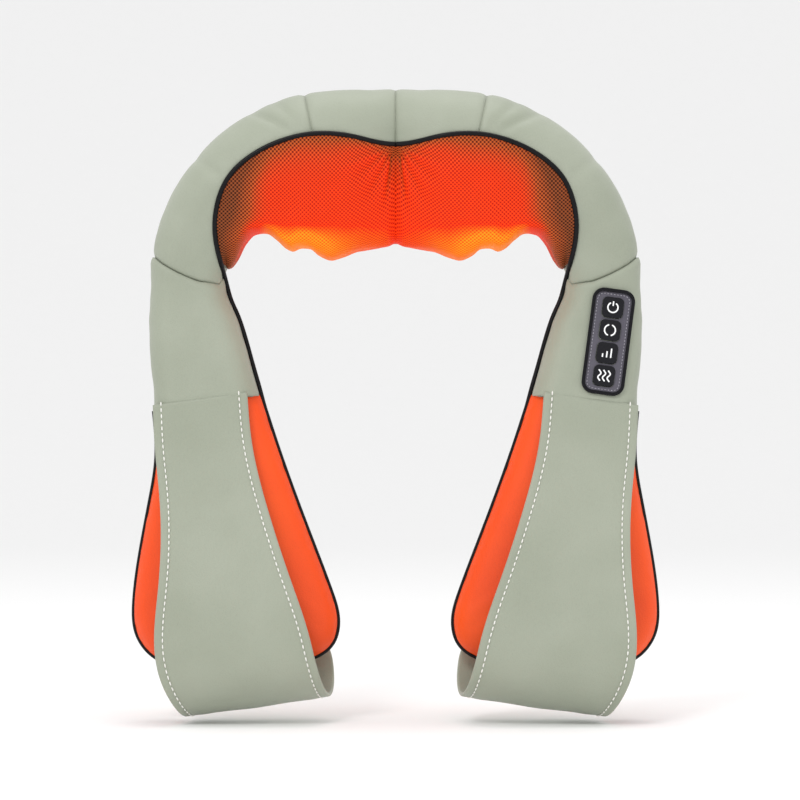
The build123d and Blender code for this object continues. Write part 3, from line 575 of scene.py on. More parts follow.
@dataclass
class PaddedBody:
    """The left half of the padding as one surface, from the middle of the neck to the hem.

    A section is a rounded rectangle square to a spine. The spine runs straight from the middle,
    round the shoulder bend and down the arm. Rows give each section's angle about the bend, then
    its inner, outer, front and back reach from the spine and its four corner radii.
    """

    bend_x: float = 40.0
    bend_z: float = -65.0
    spine_radius: float = 121.25
    spine_y: float = 20.0
    rows: list[tuple[float, ...]] = field(
        default_factory=lambda: [
            (0, -94.0, 29.4, -20.0, 66.0, 12, 36, 32, 24),
            (18, -95.2, 29.0, -27.0, 66.0, 12, 37, 32, 24),
            (40, -97.2, 28.8, -33.5, 66.0, 12, 37, 32, 24),
        ]
    )
    bend_rows: list[tuple[float, ...]] = field(
        default_factory=lambda: [
            (110, -98.5, 28.75, -33.5, 65.0, 12, 37, 32, 24),
            (130, -95.5, 28.75, -33.5, 61.0, 12, 34, 30, 24),
            (141, -88.0, 28.75, -33.5, 57.0, 12, 31, 28, 24),
            (151, -65.0, 28.75, -32.5, 50.0, 14, 27, 26, 22),
            (166, -35.0, 28.75, -28.0, 37.0, 16, 20, 22, 20),
            (180, -28.75, 28.75, -25.0, 25.0, 18, 17, 20, 20),
        ]
    )
    arm_rows: list[tuple[float, ...]] = field(
        default_factory=lambda: [
            (-156.7, 13.3, -97.0, 183.5, 3, -34.4, 34.4, -23.7, 23.7, 18, 16, 20, 20),
            (-150.9, 7.2, -129.0, 186, 4, -37.9, 37.9, -22.7, 22.7, 18, 16, 19, 19),
            (-149.0, 1.5, -160.0, 188, 4, -44.5, 37.0, -22.0, 22.0, 18, 15, 18, 18),
        ]
    )

    def __post_init__(self) -> None:
        """Lay out the spine and the sizes along it."""
        arc = lambda degrees: self.bend_x + math.radians(degrees - 90.0) * self.spine_radius
        spine = []
        for x in (0.0, -13.0, -26.0, -self.bend_x):
            spine.append((x, self.spine_y, self.bend_z + self.spine_radius, 90.0, 0.0))
        for degrees in range(105, 181, 15):
            a = math.radians(degrees)
            x = -self.bend_x + self.spine_radius * math.cos(a)
            z = self.bend_z + self.spine_radius * math.sin(a)
            spine.append((x, self.spine_y, z, degrees, 0.0))
        spine.extend(row[:5] for row in self.arm_rows)
        table = np.array(spine, float)
        self.spine_s = lengths(table[:, :3])
        straight = self.spine_s[: len(table) - len(self.arm_rows)]
        exact = [0.0, 13.0, 26.0, self.bend_x] + [arc(d) for d in range(105, 181, 15)]
        straight[:] = exact
        for i in range(len(straight), len(table)):
            hop = np.linalg.norm(table[i, :3] - table[i - 1, :3])
            self.spine_s[i] = self.spine_s[i - 1] + hop
        self.spine_table = table
        size_s = [row[0] for row in self.rows] + [arc(row[0]) for row in self.bend_rows]
        size_s.extend(self.spine_s[-len(self.arm_rows) :])
        sizes = [row[1:] for row in self.rows + self.bend_rows]
        sizes.extend(row[5:] for row in self.arm_rows)
        self.size_s = np.array(size_s, float)
        self.size_table = np.array(sizes, float)
        self.end = float(self.spine_s[-1])

    def at_angle(self, degrees: float) -> float:
        """The distance along the spine of a section at an angle about the shoulder bend."""
        return self.bend_x + math.radians(degrees - 90.0) * self.spine_radius

    def frames(self, s: Grid) -> tuple[Grid, Grid, Grid, Grid]:
        """Where sections stand.

        Args:
            s: Distances along the spine.

        Returns:
            The centre, the outward and backward directions, and the sizes of each section.
        """
        centre = natural_curve(self.spine_s, self.spine_table[:, :3], s)
        turn = np.clip((s - self.bend_x) / self.spine_radius, 0.0, math.pi / 2.0) + math.pi / 2.0
        arc_x = self.spine_radius * np.cos(turn) - np.minimum(s, self.bend_x)
        arc_z = self.spine_radius * np.sin(turn) + self.bend_z
        exact = np.stack([arc_x, np.full_like(arc_x, self.spine_y), arc_z], axis=-1)
        centre = np.where((s <= self.at_angle(180.0))[..., None], exact, centre)
        angle = np.radians(np.interp(s, self.spine_s, self.spine_table[:, 3]))
        pitch = np.radians(np.interp(s, self.spine_s, self.spine_table[:, 4]))
        nought = np.zeros_like(angle)
        outward = np.stack([np.cos(angle), nought, np.sin(angle)], axis=-1)
        along = np.stack(
            [-np.sin(angle) * np.cos(pitch), -np.sin(pitch), np.cos(angle) * np.cos(pitch)], axis=-1
        )
        backward = np.cross(along, outward)
        return centre, outward, backward, gentle_curve(self.size_s, self.size_table, s)

    def local(self, sizes: Grid, stretch: Stretch, share: Grid | float) -> tuple[Grid, Grid]:
        """A place on a section's outline, outwards and backwards from its centre.

        Args:
            sizes: The sections' sizes, one row each.
            stretch: Which stretch of the outline.
            share: How far along that stretch, from 0 to 1.

        Returns:
            The outward and the backward distance.
        """
        inner, outer, front, back, r0, r1, r2, r3 = np.moveaxis(sizes, -1, 0)
        quarter = share * math.pi / 2.0
        if stretch is Stretch.FRONT:
            return inner + r0 + (outer - r1 - inner - r0) * share, front + 0.0 * share
        if stretch is Stretch.OUTER_FRONT:
            return outer - r1 + r1 * np.sin(quarter), front + r1 - r1 * np.cos(quarter)
        if stretch is Stretch.OUTER:
            return outer + 0.0 * share, front + r1 + (back - r2 - front - r1) * share
        if stretch is Stretch.OUTER_BACK:
            return outer - r2 + r2 * np.cos(quarter), back - r2 + r2 * np.sin(quarter)
        if stretch is Stretch.BACK:
            return outer - r2 + (inner + r3 - outer + r2) * share, back + 0.0 * share
        if stretch is Stretch.INNER_BACK:
            return inner + r3 - r3 * np.sin(quarter), back - r3 + r3 * np.cos(quarter)
        if stretch is Stretch.INNER:
            return inner + 0.0 * share, back - r3 + (front + r0 - back + r3) * share
        return inner + r0 - r0 * np.cos(quarter), front + r0 - r0 * np.sin(quarter)

    def front_at(self, s: Grid, out: Grid) -> Grid:
        """How far back the front face lies at a reach from the spine, corners included."""
        sizes = self.frames(s)[3]
        inner, outer, front, _, r0, r1 = np.moveaxis(sizes[..., :6], -1, 0)
        low = np.clip(inner + r0 - out, 0.0, r0 - 0.2)
        high = np.clip(out - outer + r1, 0.0, r1 - 0.2)
        return front + r0 - np.sqrt(r0**2 - low**2) + r1 - np.sqrt(r1**2 - high**2)

    def inner_at(self, s: Grid, behind: Grid) -> Grid:
        """The reach of the inner face so far behind the front face, its front corner included."""
        sizes = self.frames(s)[3]
        inner, r0 = sizes[..., 0], sizes[..., 4]
        short = np.clip(r0 - behind, 0.0, r0 - 0.2)
        return inner + r0 - np.sqrt(r0**2 - short**2)

    def point(self, s: Grid, out: Grid, back: Grid) -> Grid:
        """The point at distances along, outwards from and behind the spine."""
        centre, outward, backward, _ = self.frames(s)
        return centre + outward * out[..., None] + backward * back[..., None]


@dataclass
class WavyHem:
    """The lower outline of the collar as the heads push it out: dips and rises along its bottom."""

    body: PaddedBody
    fade: float = 24.0
    points: list[tuple[float, float]] = field(
        default_factory=lambda: [
            (-134.0, -55.5),
            (-129.0, -53.5),
            (-125.0, -47.5),
            (-117.5, -33.5),
            (-110.0, -27.0),
            (-101.0, -26.0),
            (-93.0, -30.0),
            (-86.0, -36.0),
            (-80.0, -38.5),
            (-74.0, -36.5),
            (-67.0, -37.5),
            (-60.5, -42.5),
            (-49.6, -47.0),
            (-40.0, -43.5),
            (-29.0, -38.5),
            (-15.0, -36.5),
            (0.0, -36.0),
        ]
    )

    def __post_init__(self) -> None:
        """Find the plain lower outline, to know how far each place has to move."""
        s = np.linspace(0.0, self.body.at_angle(178.0), 400)
        sizes = self.body.frames(s)[3]
        plain = self.body.point(s, sizes[:, 0], sizes[:, 3] * 0.0)
        order = np.argsort(plain[:, 0])
        self.x = np.linspace(-134.0, 0.0, 135)
        self.plain = np.interp(self.x, plain[order, 0], plain[order, 2])
        knots = np.array(self.points)
        wanted = gentle_curve(knots[:, 0], knots[:, 1:], self.x)
        self.rise = wanted[:, 0] - self.plain

    def lift(self, points: Grid) -> Grid:
        """How far up each point goes: all the way at the outline, less above it."""
        x = points[..., 0]
        above = points[..., 2] - np.interp(x, self.x, self.plain)
        edge = smooth((x + 136.0) / 4.0) * smooth((above + 16.0) / 10.0)
        return np.interp(x, self.x, self.rise) * smooth(1.0 - above / self.fade) * edge


@dataclass
class WindowEdge:
    """The piped edge of the mesh window on the collar's front, as reach from the spine."""

    body: PaddedBody
    depth: float = 48.0
    last_angle: float = 175.5
    points: list[tuple[float, float]] = field(
        default_factory=lambda: [
            (14.0, 42.0),
            (0.0, 40.8),
            (-14.0, 42.0),
            (-32.0, 45.8),
            (-63.0, 48.0),
            (-88.0, 42.5),
            (-111.0, 31.0),
            (-128.0, 15.0),
            (-136.5, -4.0),
            (-139.0, -27.0),
            (-136.5, -44.0),
            (-131.5, -61.0),
        ]
    )

    def __post_init__(self) -> None:
        """Turn the edge's points into reach along the spine."""
        line = resample(self.points, 2.0)
        straight = line[:, 0] > -self.body.bend_x
        across = line[:, 0] + self.body.bend_x
        up = line[:, 1] - self.body.bend_z
        angle = np.where(straight, 90.0, np.degrees(np.arctan2(up, across)))
        self.s = np.where(straight, -line[:, 0], self.body.at_angle(0.0) + np.radians(angle) * self.body.spine_radius)
        self.out = np.where(straight, up, np.hypot(across, up)) - self.body.spine_radius
        self.end = self.body.at_angle(self.last_angle)

    def reach(self, s: Grid) -> Grid:
        """How far out from the spine the edge lies at distances along it."""
        return np.interp(s, self.s, self.out)

    def depth_inside(self, s: Grid, out: Grid, back: Grid) -> Grid:
        """How far inside the window points of the padding are, in millimetres; less than nought outside."""
        within = np.minimum(self.reach(s) - out, self.end - s)
        return np.minimum(within, self.depth - self.body.spine_y - back)


@dataclass
class LeatherPanels:
    """The leather over collar and upper arm: a centre, a shoulder and an arm panel on each side."""

    body: PaddedBody
    window: WindowEdge
    hem: WavyHem
    centre_seam_angle: float = 102.0
    shoulder_seam: list[tuple[float, float]] = field(
        default_factory=lambda: [(0.0, 181.5), (0.33, 180.2), (0.55, 178.0), (0.86, 174.7), (1.0, 172.7)]
    )
    row_step: float = 2.0
    sink_under_mesh: float = 6.0
    window_cut: float = 7.0
    back_margin: float = 16.0
    back_from: float = 20.0
    wall: float = 3.0
    seam_width: float = 2.0
    seam_depth: float = 1.5
    middle_seam_depth: float = 0.9
    samples: dict[Stretch, int] = field(
        default_factory=lambda: {
            Stretch.FRONT: 30,
            Stretch.OUTER_FRONT: 14,
            Stretch.OUTER: 6,
            Stretch.OUTER_BACK: 14,
            Stretch.BACK: 18,
            Stretch.INNER_BACK: 12,
            Stretch.INNER: 14,
            Stretch.INNER_FRONT: 10,
        }
    )

    def columns(self) -> list[tuple[Stretch, float]]:
        """Every column of the panels' grids: a stretch of the outline and a share of it."""
        found = []
        for stretch, count in self.samples.items():
            found.extend((stretch, k / count) for k in range(count))
        return found

    def seam_line(self, knots: Sequence[tuple[float, float]]) -> Grid:
        """Where a seam crosses each column, as distance along the spine."""
        middle = np.array([self.body.at_angle(177.0)])
        sizes = self.body.frames(middle)[3]
        line = []
        for stretch, share in self.columns():
            out = self.body.local(sizes, stretch, share)[0][0]
            part = (out - sizes[0][0]) / (sizes[0][1] - sizes[0][0])
            line.append(self.body.at_angle(float(np.interp(part, *zip(*knots)))))
        return np.array(line)

    def panel(self, starts: Grid, ends: Grid, lips: tuple[float, float]) -> tuple[Grid, Grid, Grid]:
        """One panel's surface between two lines across the columns.

        Args:
            starts: Distance along the spine where each column starts.
            ends: Where each column ends.
            lips: How far the first and the last edge stand above a plain seam.

        Returns:
            The grid of points, their outward normals and how far inside the window each one is.
        """
        count = max(int(np.max(ends - starts) / self.row_step), 6)
        share = np.linspace(0.0, 1.0, count)[:, None]
        s = starts[None, :] + (ends - starts)[None, :] * share
        out = np.zeros_like(s)
        back = np.zeros_like(s)
        for j, (stretch, part) in enumerate(self.columns()):
            sizes = self.body.frames(s[:, j])[3]
            out[:, j], back[:, j] = self.body.local(sizes, stretch, part)
        points = self.body.point(s, out, back)
        normals = grid_normals(points, True)
        outside = np.sign(np.sum(normals * (points - points.mean(axis=1, keepdims=True)), axis=-1).mean())
        normals = normals * outside
        inside = self.window.depth_inside(s, out, back)
        move = -self.sink_under_mesh * smooth(inside / 6.0)
        move = move + 0.6 * bump((inside + 3.4) / 1.5)
        low, limit = self.body.frames(s[:, 0])[3][:, :1], self.window.depth - self.body.spine_y
        move = move - 2.2 * smooth((back - limit + 4.0) / 6.0) * smooth((low + 16.0 - out) / 12.0)
        middle = float(np.max(starts)) == 0.0
        depths = (self.middle_seam_depth if middle else self.seam_depth, self.seam_depth)
        open_side = 1.0 - 0.8 * smooth((low + 9.0 - out) / 8.0)
        for edge, lip, depth in zip((s - starts[None, :], ends[None, :] - s), lips, depths):
            move = move + open_side * (lip * bump(edge / 9.0) - depth * bump(edge / self.seam_width))
        move = move + 0.55 * soft_noise(points, 34.0, 3.0) + 0.22 * soft_noise(points, 12.0, 9.0)
        move = move + self.creases(points)
        moved = points + normals * move[..., None]
        moved[..., 2] += self.hem.lift(points)
        if middle:
            moved[0, :, 0] = 0.0
            normals[0, :, 0] = 0.0
        return moved, normals, inside

    def creases(self, points: Grid) -> Grid:
        """Soft creases that run from the shoulder towards the window."""
        move = np.zeros(points.shape[:-1])
        for (x0, z0), (x1, z1), width, depth in (
            ((-122.0, 72.0), (-76.0, 49.0), 3.4, 2.4),
            ((-98.0, 79.0), (-70.0, 50.0), 3.6, 1.2),
            ((-158.0, 32.0), (-132.0, 14.0), 4.5, 0.9),
        ):
            run = np.array([x1 - x0, z1 - z0])
            rel = points[..., [0, 2]] - np.array([x0, z0])
            share = np.clip(rel @ run / float(run @ run), 0.0, 1.0)
            off = np.linalg.norm(rel - share[..., None] * run, axis=-1)
            front = smooth((30.0 - points[..., 1]) / 25.0)
            move = move - depth * bump(off / width) * smooth((1.0 - share) * 3.0 + 0.25) * front
        return move

    def skin(
        self, name: str, points: Grid, normals: Grid, inside: Grid, side: Side, capped: bool
    ) -> bpy.types.Object:
        """A panel as a closed wall of lined leather, cut away behind the mesh.

        Args:
            name: The piece's name.
            points: The grid of its outer face.
            normals: The outward normals there.
            inside: How far inside the window each point is.
            side: The side it is wanted on.
            capped: Whether its last edge is closed by an end.

        Returns:
            The piece.
        """
        rows, columns = points.shape[:2]
        if capped:
            centre = points[-1].mean(axis=0)
            down = unit(centre - points[-2].mean(axis=0))
            flaps = np.stack([centre + (points[-1] - centre) * share for share in (0.94, 0.8)])
            points = np.concatenate([points, flaps])
            normals = np.concatenate([normals, np.broadcast_to(down, flaps.shape)])
            inside = np.concatenate([inside, np.full((2, columns), -1.0)])
            rows += 2
        back = smooth((points[..., 1] - self.back_from) / 10.0)
        cut = (inside > self.window_cut + self.back_margin * back).ravel()
        kept = [face for face in grid_faces(rows, columns, True) if not cut[list(face)].all()]
        if capped:
            kept.append(tuple(range((rows - 1) * columns, rows * columns))[::-1])
        borders = {edge for face in kept for edge in zip(face, face[1:] + face[:1])}
        total = rows * columns
        faces = kept + [tuple(k + total for k in face[::-1]) for face in kept]
        faces += [(b, a, a + total, b + total) for a, b in sorted(borders) if (b, a) not in borders]
        inner = points - normals * self.wall
        return mesh_piece(name, np.concatenate([points.reshape(-1, 3), inner.reshape(-1, 3)]), faces, side)

    def build(self, wardrobe: Wardrobe) -> None:
        """Make and dress the six panels."""
        width = len(self.columns())
        middle = np.zeros(width)
        centre = np.full(width, self.body.at_angle(self.centre_seam_angle))
        shoulder = self.seam_line(self.shoulder_seam)
        hem = np.full(width, self.body.end)
        plans = (
            ("centre_panel", middle, centre, (0.0, 0.0), ("cover_centre", "collar_foam")),
            ("shoulder_panel", centre, shoulder, (0.0, -0.9), ("cover_shoulder",)),
            ("arm_panel", shoulder, hem, (1.1, 0.6), ("arm_cover", "arm_foam")),
        )
        for name, starts, ends, lips, stands_for in plans:
            points, normals, inside = self.panel(starts, ends, lips)
            for side in Side:
                capped = name == "arm_panel"
                piece = self.skin(f"{name}_{side.word}", points, normals, inside, side, capped)
                wardrobe.dress(piece, SAGE)
                finish_padded(piece)
                for node in stands_for:
                    full = node if node in frame["nodes"] else f"{node}_{side.word}"
                    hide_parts(full)


def finish_padded(piece: bpy.types.Object) -> None:
    """Bake a soft piece's placement into its mesh and log how many points it has."""
    bend_at_shoulder(piece)
    log.info("%s: %d points", piece.name, len(piece.data.vertices))


def bend_at_shoulder(piece: bpy.types.Object) -> None:
    """Bake a piece's placement into its mesh."""
    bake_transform(piece)


# ---- the mesh over the massage heads --------------------------------------------------------------
@dataclass
class MeshWindow:
    """The glowing mesh: a stretched cloth over the massage heads, pinched in the middle."""

    body: PaddedBody
    window: WindowEdge
    hem: WavyHem
    thickness: float = 1.2
    column_step: float = 1.0
    row_count: int = 90
    stand_off: float = 0.9
    pinch_depth: float = 5.0
    folds: list[tuple[float, float, float]] = field(
        default_factory=lambda: [(9.0, 3.5, 2.2), (24.0, 4.5, 1.6), (41.0, 5.0, 1.3), (58.0, 5.0, 0.9)]
    )

    def column(self, s: float) -> Grid:
        """Outward and backward places down one column, from the piping to the back edge."""
        sizes = self.body.frames(np.array([s]))[3]
        line = []
        plan = ((Stretch.OUTER_FRONT, 24), (Stretch.FRONT, 60), (Stretch.INNER_FRONT, 24), (Stretch.INNER, 60))
        for stretch, count in plan:
            out, back = self.body.local(sizes, stretch, np.linspace(1.0, 0.0, count))
            line.append(np.stack([out, back], axis=1))
        path = np.concatenate(line)
        edge = max(float(self.window.reach(np.array([s]))[0]), float(sizes[0, 0]) + 0.5)
        limit = self.window.depth - self.body.spine_y
        start = int(np.argmax(path[:, 0] <= edge))
        kept = path[start:]
        kept = kept[kept[:, 1] <= max(limit, kept[0, 1] + 1.0)]
        first = [edge, float(self.body.front_at(np.array([s]), np.array([edge]))[0])]
        kept = np.concatenate([[first], kept])
        along = lengths(kept)
        wanted = np.linspace(0.0, along[-1], self.row_count)
        return np.stack([np.interp(wanted, along, kept[:, 0]), np.interp(wanted, along, kept[:, 1])], axis=1)

    def sheet(self) -> tuple[Grid, Grid, Grid, Grid]:
        """The outer face of the left half.

        Returns:
            The points, the distance from the middle, the distance below the piping and the glow, a painted level of
            lamp light and shade.
        """
        count = int(self.window.end / self.column_step)
        s = np.linspace(0.0, self.window.end, count)
        local = np.stack([self.column(float(v)) for v in s], axis=1)
        where = np.broadcast_to(s[None, :], local.shape[:2])
        points = self.body.point(where, local[..., 0], local[..., 1])
        normals = grid_normals(points, False)
        if normals[:, :, 1].mean() > 0:
            normals = -normals
        down = np.zeros(points.shape[:2])
        down[1:] = np.cumsum(np.linalg.norm(np.diff(points, axis=0), axis=-1), axis=0)
        x = -points[..., 0]
        fade = smooth(down / 10.0)
        move = self.stand_off + 0.0 * x
        pinch = bump(x / 4.2) * fade * (0.45 + 0.55 * smooth((48.0 - down) / 30.0))
        move = move - self.pinch_depth * pinch
        ripples = np.zeros_like(move)
        angle = np.degrees(np.arctan2(x, down + 2.0))
        length = np.hypot(x, down)
        for turn, width, depth in self.folds:
            ripples -= depth * bump((angle - turn) / width) * smooth(length / 12.0) * smooth((64.0 - length) / 34.0)
        move = move + ripples
        crown = bump((x - 66.0) / 40.0) * smooth(down / 30.0) * smooth((points[..., 2] + 46.0) / 30.0)
        move = move + 2.0 * crown
        sag = np.sin(x / 9.5 + 1.2 * np.sin(down / 26.0)) * smooth((down - 25.0) / 40.0)
        move = move + 0.8 * sag + 0.5 * soft_noise(points, 16.0, 5.0)
        height = points[..., 2]
        # Painted light and shade, kept as the glow: painted shade near the piping and towards the outer end, a painted
        # brighter band low down, and painted shade in the pinch and in the folds.
        wide = 8.0 + 12.0 * smooth((x - 20.0) / 40.0)
        glow = 0.60 - 0.48 * np.exp(-down / wide) - 0.36 * smooth((x - 92.0) / 36.0)
        glow = glow + 0.12 * smooth((-10.0 - height) / 24.0)
        glow = glow + 0.42 * bump((height + 38.0) / 11.0) * bump((x - 72.0) / 34.0)
        glow = glow - 0.15 * pinch + 0.07 * ripples
        moved = points + normals * move[..., None]
        moved[..., 2] += self.hem.lift(points)
        moved[:, 0, 0] = 0.0
        return moved, where, down, np.clip(glow, 0.0, 1.0)

    def build(self, wardrobe: Wardrobe) -> None:
        """Make and dress both halves."""
        outer, across, down, glow = self.sheet()
        normals = grid_normals(outer, False)
        if normals[:, :, 1].mean() > 0:
            normals = -normals
        inner = outer - normals * self.thickness
        inner[:, 0, 0] = 0.0
        rows, columns = across.shape
        total = rows * columns
        faces = grid_faces(rows, columns, False)
        faces += [tuple(k + total for k in face[::-1]) for face in faces]
        rim = [j for j in range(columns)] + [i * columns + columns - 1 for i in range(1, rows)]
        rim += [(rows - 1) * columns + j for j in range(columns - 2, -1, -1)]
        rim += [i * columns for i in range(rows - 2, 0, -1)]
        for a, b in zip(rim, rim[1:] + rim[:1]):
            faces.append((a, b, b + total, a + total))
        points = np.concatenate([outer.reshape(-1, 3), inner.reshape(-1, 3)])
        for side in Side:
            piece = mesh_piece(f"mesh_{side.word}", points, faces, side)
            # The back face gets 0.6 of the painted glow: painted shade.
            set_attribute(piece, "glow", np.concatenate([glow.ravel(), glow.ravel() * 0.6]))
            set_map(piece, np.tile(-outer[..., 0].ravel(), 2), np.tile((outer[..., 1] - outer[..., 2]).ravel(), 2))
            wardrobe.dress(piece, GlowingMesh())
            bend_at_shoulder(piece)
            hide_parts("mesh_cover")
            log.info("%s: %d points", piece.name, total)


# ---- pouches, straps and piping -------------------------------------------------------------------
@dataclass
class PouchFrame:
    """The left pouch's own axes: u across, v up and w forwards from the middle of the hem."""

    origin: tuple[float, float, float] = (-149.0, 1.5, -160.0)
    lean: float = 8.0
    pitch: float = 4.0
    outline: list[tuple[float, float]] = field(
        default_factory=lambda: [
            (44.5, 0.0),
            (51.0, -37.0),
            (58.5, -74.0),
            (68.0, -116.0),
            (77.5, -158.0),
            (79.5, -180.0),
            (72.0, -197.0),
            (54.0, -205.0),
            (20.0, -206.0),
            (-15.0, -203.0),
            (-42.0, -197.0),
            (-62.0, -187.0),
            (-73.0, -168.0),
            (-72.0, -145.0),
            (-62.0, -107.0),
            (-48.5, -66.0),
            (-40.0, -36.0),
            (-37.0, 0.0),
        ]
    )

    def axes(self) -> tuple[Grid, Grid, Grid]:
        """The directions of u, v and w."""
        lean = math.radians(self.lean)
        pitch = math.radians(self.pitch)
        u = np.array([math.cos(lean), 0.0, math.sin(lean)])
        w = np.array([-math.sin(lean) * math.sin(pitch), -math.cos(pitch), math.cos(lean) * math.sin(pitch)])
        return u, np.cross(w, u), w

    def place(self, u: Grid, v: Grid, w: Grid) -> Grid:
        """Points from their distances across, up and forwards."""
        axes = self.axes()
        parts = [np.asarray(part, float)[..., None] * axis for part, axis in zip((u, v, w), axes)]
        return np.array(self.origin) + parts[0] + parts[1] + parts[2]

    def edge(self, inset: float, step: float = 3.0) -> Grid:
        """The outline as close points, moved in by inset."""
        line = resample(self.outline, step)
        ahead = unit(np.gradient(line, axis=0))
        inward = np.stack([ahead[:, 1], -ahead[:, 0]], axis=1)
        return line + inward * inset


@dataclass
class Pouches:
    """The orange hand pouches: stuffed leather cushions that pull in to the piping round them."""

    frame: PouchFrame
    edge_inset: float = -0.6
    tuck: float = 4.5
    half_thickness: float = 17.0
    shoulder: float = 24.0
    voxel: float = 4.0
    pressure: float = 4.0
    cap: float = 6.0
    last_frame: int = 20

    def blank(self, side: Side) -> bpy.types.Object:
        """A thick plate with the pouch's outline, ready to be remeshed."""
        line = self.frame.edge(self.edge_inset)
        tucked = [line[-1] + (0.4, self.tuck), line[0] + (-0.8, self.tuck)]
        line = np.concatenate([line, np.array(tucked)])
        count = len(line)
        layers = [self.frame.place(line[:, 0], line[:, 1], np.full(count, w)) for w in (-self.half_thickness, self.half_thickness)]
        points = np.concatenate(layers)
        faces: list[Face] = [tuple(range(count)), tuple(range(2 * count - 1, count - 1, -1))]
        for i in range(count):
            k = (i + 1) % count
            faces.append((i, k, k + count, i + count))
        piece = mesh_piece(f"pouch_{side.word}", points, faces, side)
        remesh = piece.modifiers.new("remesh", "REMESH")
        remesh.mode = "VOXEL"
        remesh.voxel_size = self.voxel * MM
        apply_modifiers(piece)
        return piece

    def swell(self, piece: bpy.types.Object, side: Side) -> None:
        """Round the cushion off to the piping, then let the stuffing push it out."""
        u_axis, v_axis, w_axis = self.frame.axes()
        points = side.place(read_points(piece) / MM)
        local = points - np.array(self.frame.origin)
        u, v, w = local @ u_axis, local @ v_axis, local @ w_axis
        edge = self.frame.edge(self.edge_inset, 2.0)
        off = np.linalg.norm(np.stack([u, v], axis=1)[:, None, :] - edge[None, :, :], axis=2).min(axis=1)
        curve = np.sqrt(np.clip(1.0 - np.square(1.0 - np.clip(off / self.shoulder, 0.0, 1.0)), 0.0, 1.0))
        share = np.clip(w / self.half_thickness, -1.0, 1.0)
        w = share * self.half_thickness * np.maximum(curve, 0.02)
        moved = self.frame.place(u, v, w)
        write_points(piece, side.place(moved) * MM)
        held = piece.vertex_groups.new(name="held")
        weights = np.maximum(smooth((10.0 - off) / 8.0), smooth((v + 10.0) / 8.0))
        for index, weight in enumerate(weights):
            held.add([index], float(weight), "REPLACE")
        before = read_points(piece)
        cloth = piece.modifiers.new("stuffing", "CLOTH")
        cloth.settings.use_pressure = True
        cloth.settings.uniform_pressure_force = self.pressure
        cloth.settings.effector_weights.gravity = 0.0
        cloth.settings.vertex_group_mass = "held"
        cloth.settings.quality = 6
        for step in range(1, self.last_frame + 1):
            bpy.context.scene.frame_set(step)
        graph = bpy.context.evaluated_depsgraph_get()
        result = piece.evaluated_get(graph).to_mesh()
        after = np.zeros(len(result.vertices) * 3)
        result.vertices.foreach_get("co", after)
        piece.evaluated_get(graph).to_mesh_clear()
        piece.modifiers.clear()
        piece.vertex_groups.clear()
        shift = after.reshape(-1, 3) - before
        size = np.linalg.norm(shift, axis=1, keepdims=True)
        shift = shift * np.minimum(1.0, self.cap * MM / np.maximum(size, 1e-9))
        write_points(piece, before + shift)
        bpy.context.scene.frame_set(1)

    def build(self, wardrobe: Wardrobe) -> None:
        """Make and dress both pouches."""
        for side in Side:
            piece = self.blank(side)
            self.swell(piece, side)
            refine = piece.modifiers.new("refine", "SUBSURF")
            refine.levels = 1
            refine.render_levels = 1
            apply_modifiers(piece)
            shade_smooth(piece)
            wardrobe.dress(piece, ORANGE)
            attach(piece, side.arm)
            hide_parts(f"pouch_cover_{side.word}", f"pouch_foam_{side.word}")
            log.info("%s: %d points", piece.name, len(piece.data.vertices))


def read_points(piece: bpy.types.Object) -> Grid:
    """A mesh's points, in metres."""
    flat = np.zeros(len(piece.data.vertices) * 3)
    piece.data.vertices.foreach_get("co", flat)
    return flat.reshape(-1, 3)


def write_points(piece: bpy.types.Object, points: Grid) -> None:
    """Move a mesh's points, in metres."""
    piece.data.vertices.foreach_set("co", points.ravel())
    piece.data.update()


def apply_modifiers(piece: bpy.types.Object) -> None:
    """Bake a piece's modifiers into a plain mesh."""
    graph = bpy.context.evaluated_depsgraph_get()
    baked = bpy.data.meshes.new_from_object(piece.evaluated_get(graph))
    piece.modifiers.clear()
    old = piece.data
    piece.data = baked
    bpy.data.meshes.remove(old)


def shade_smooth(piece: bpy.types.Object) -> None:
    """Shade every face of a piece smooth."""
    piece.data.polygons.foreach_set("use_smooth", [True] * len(piece.data.polygons))


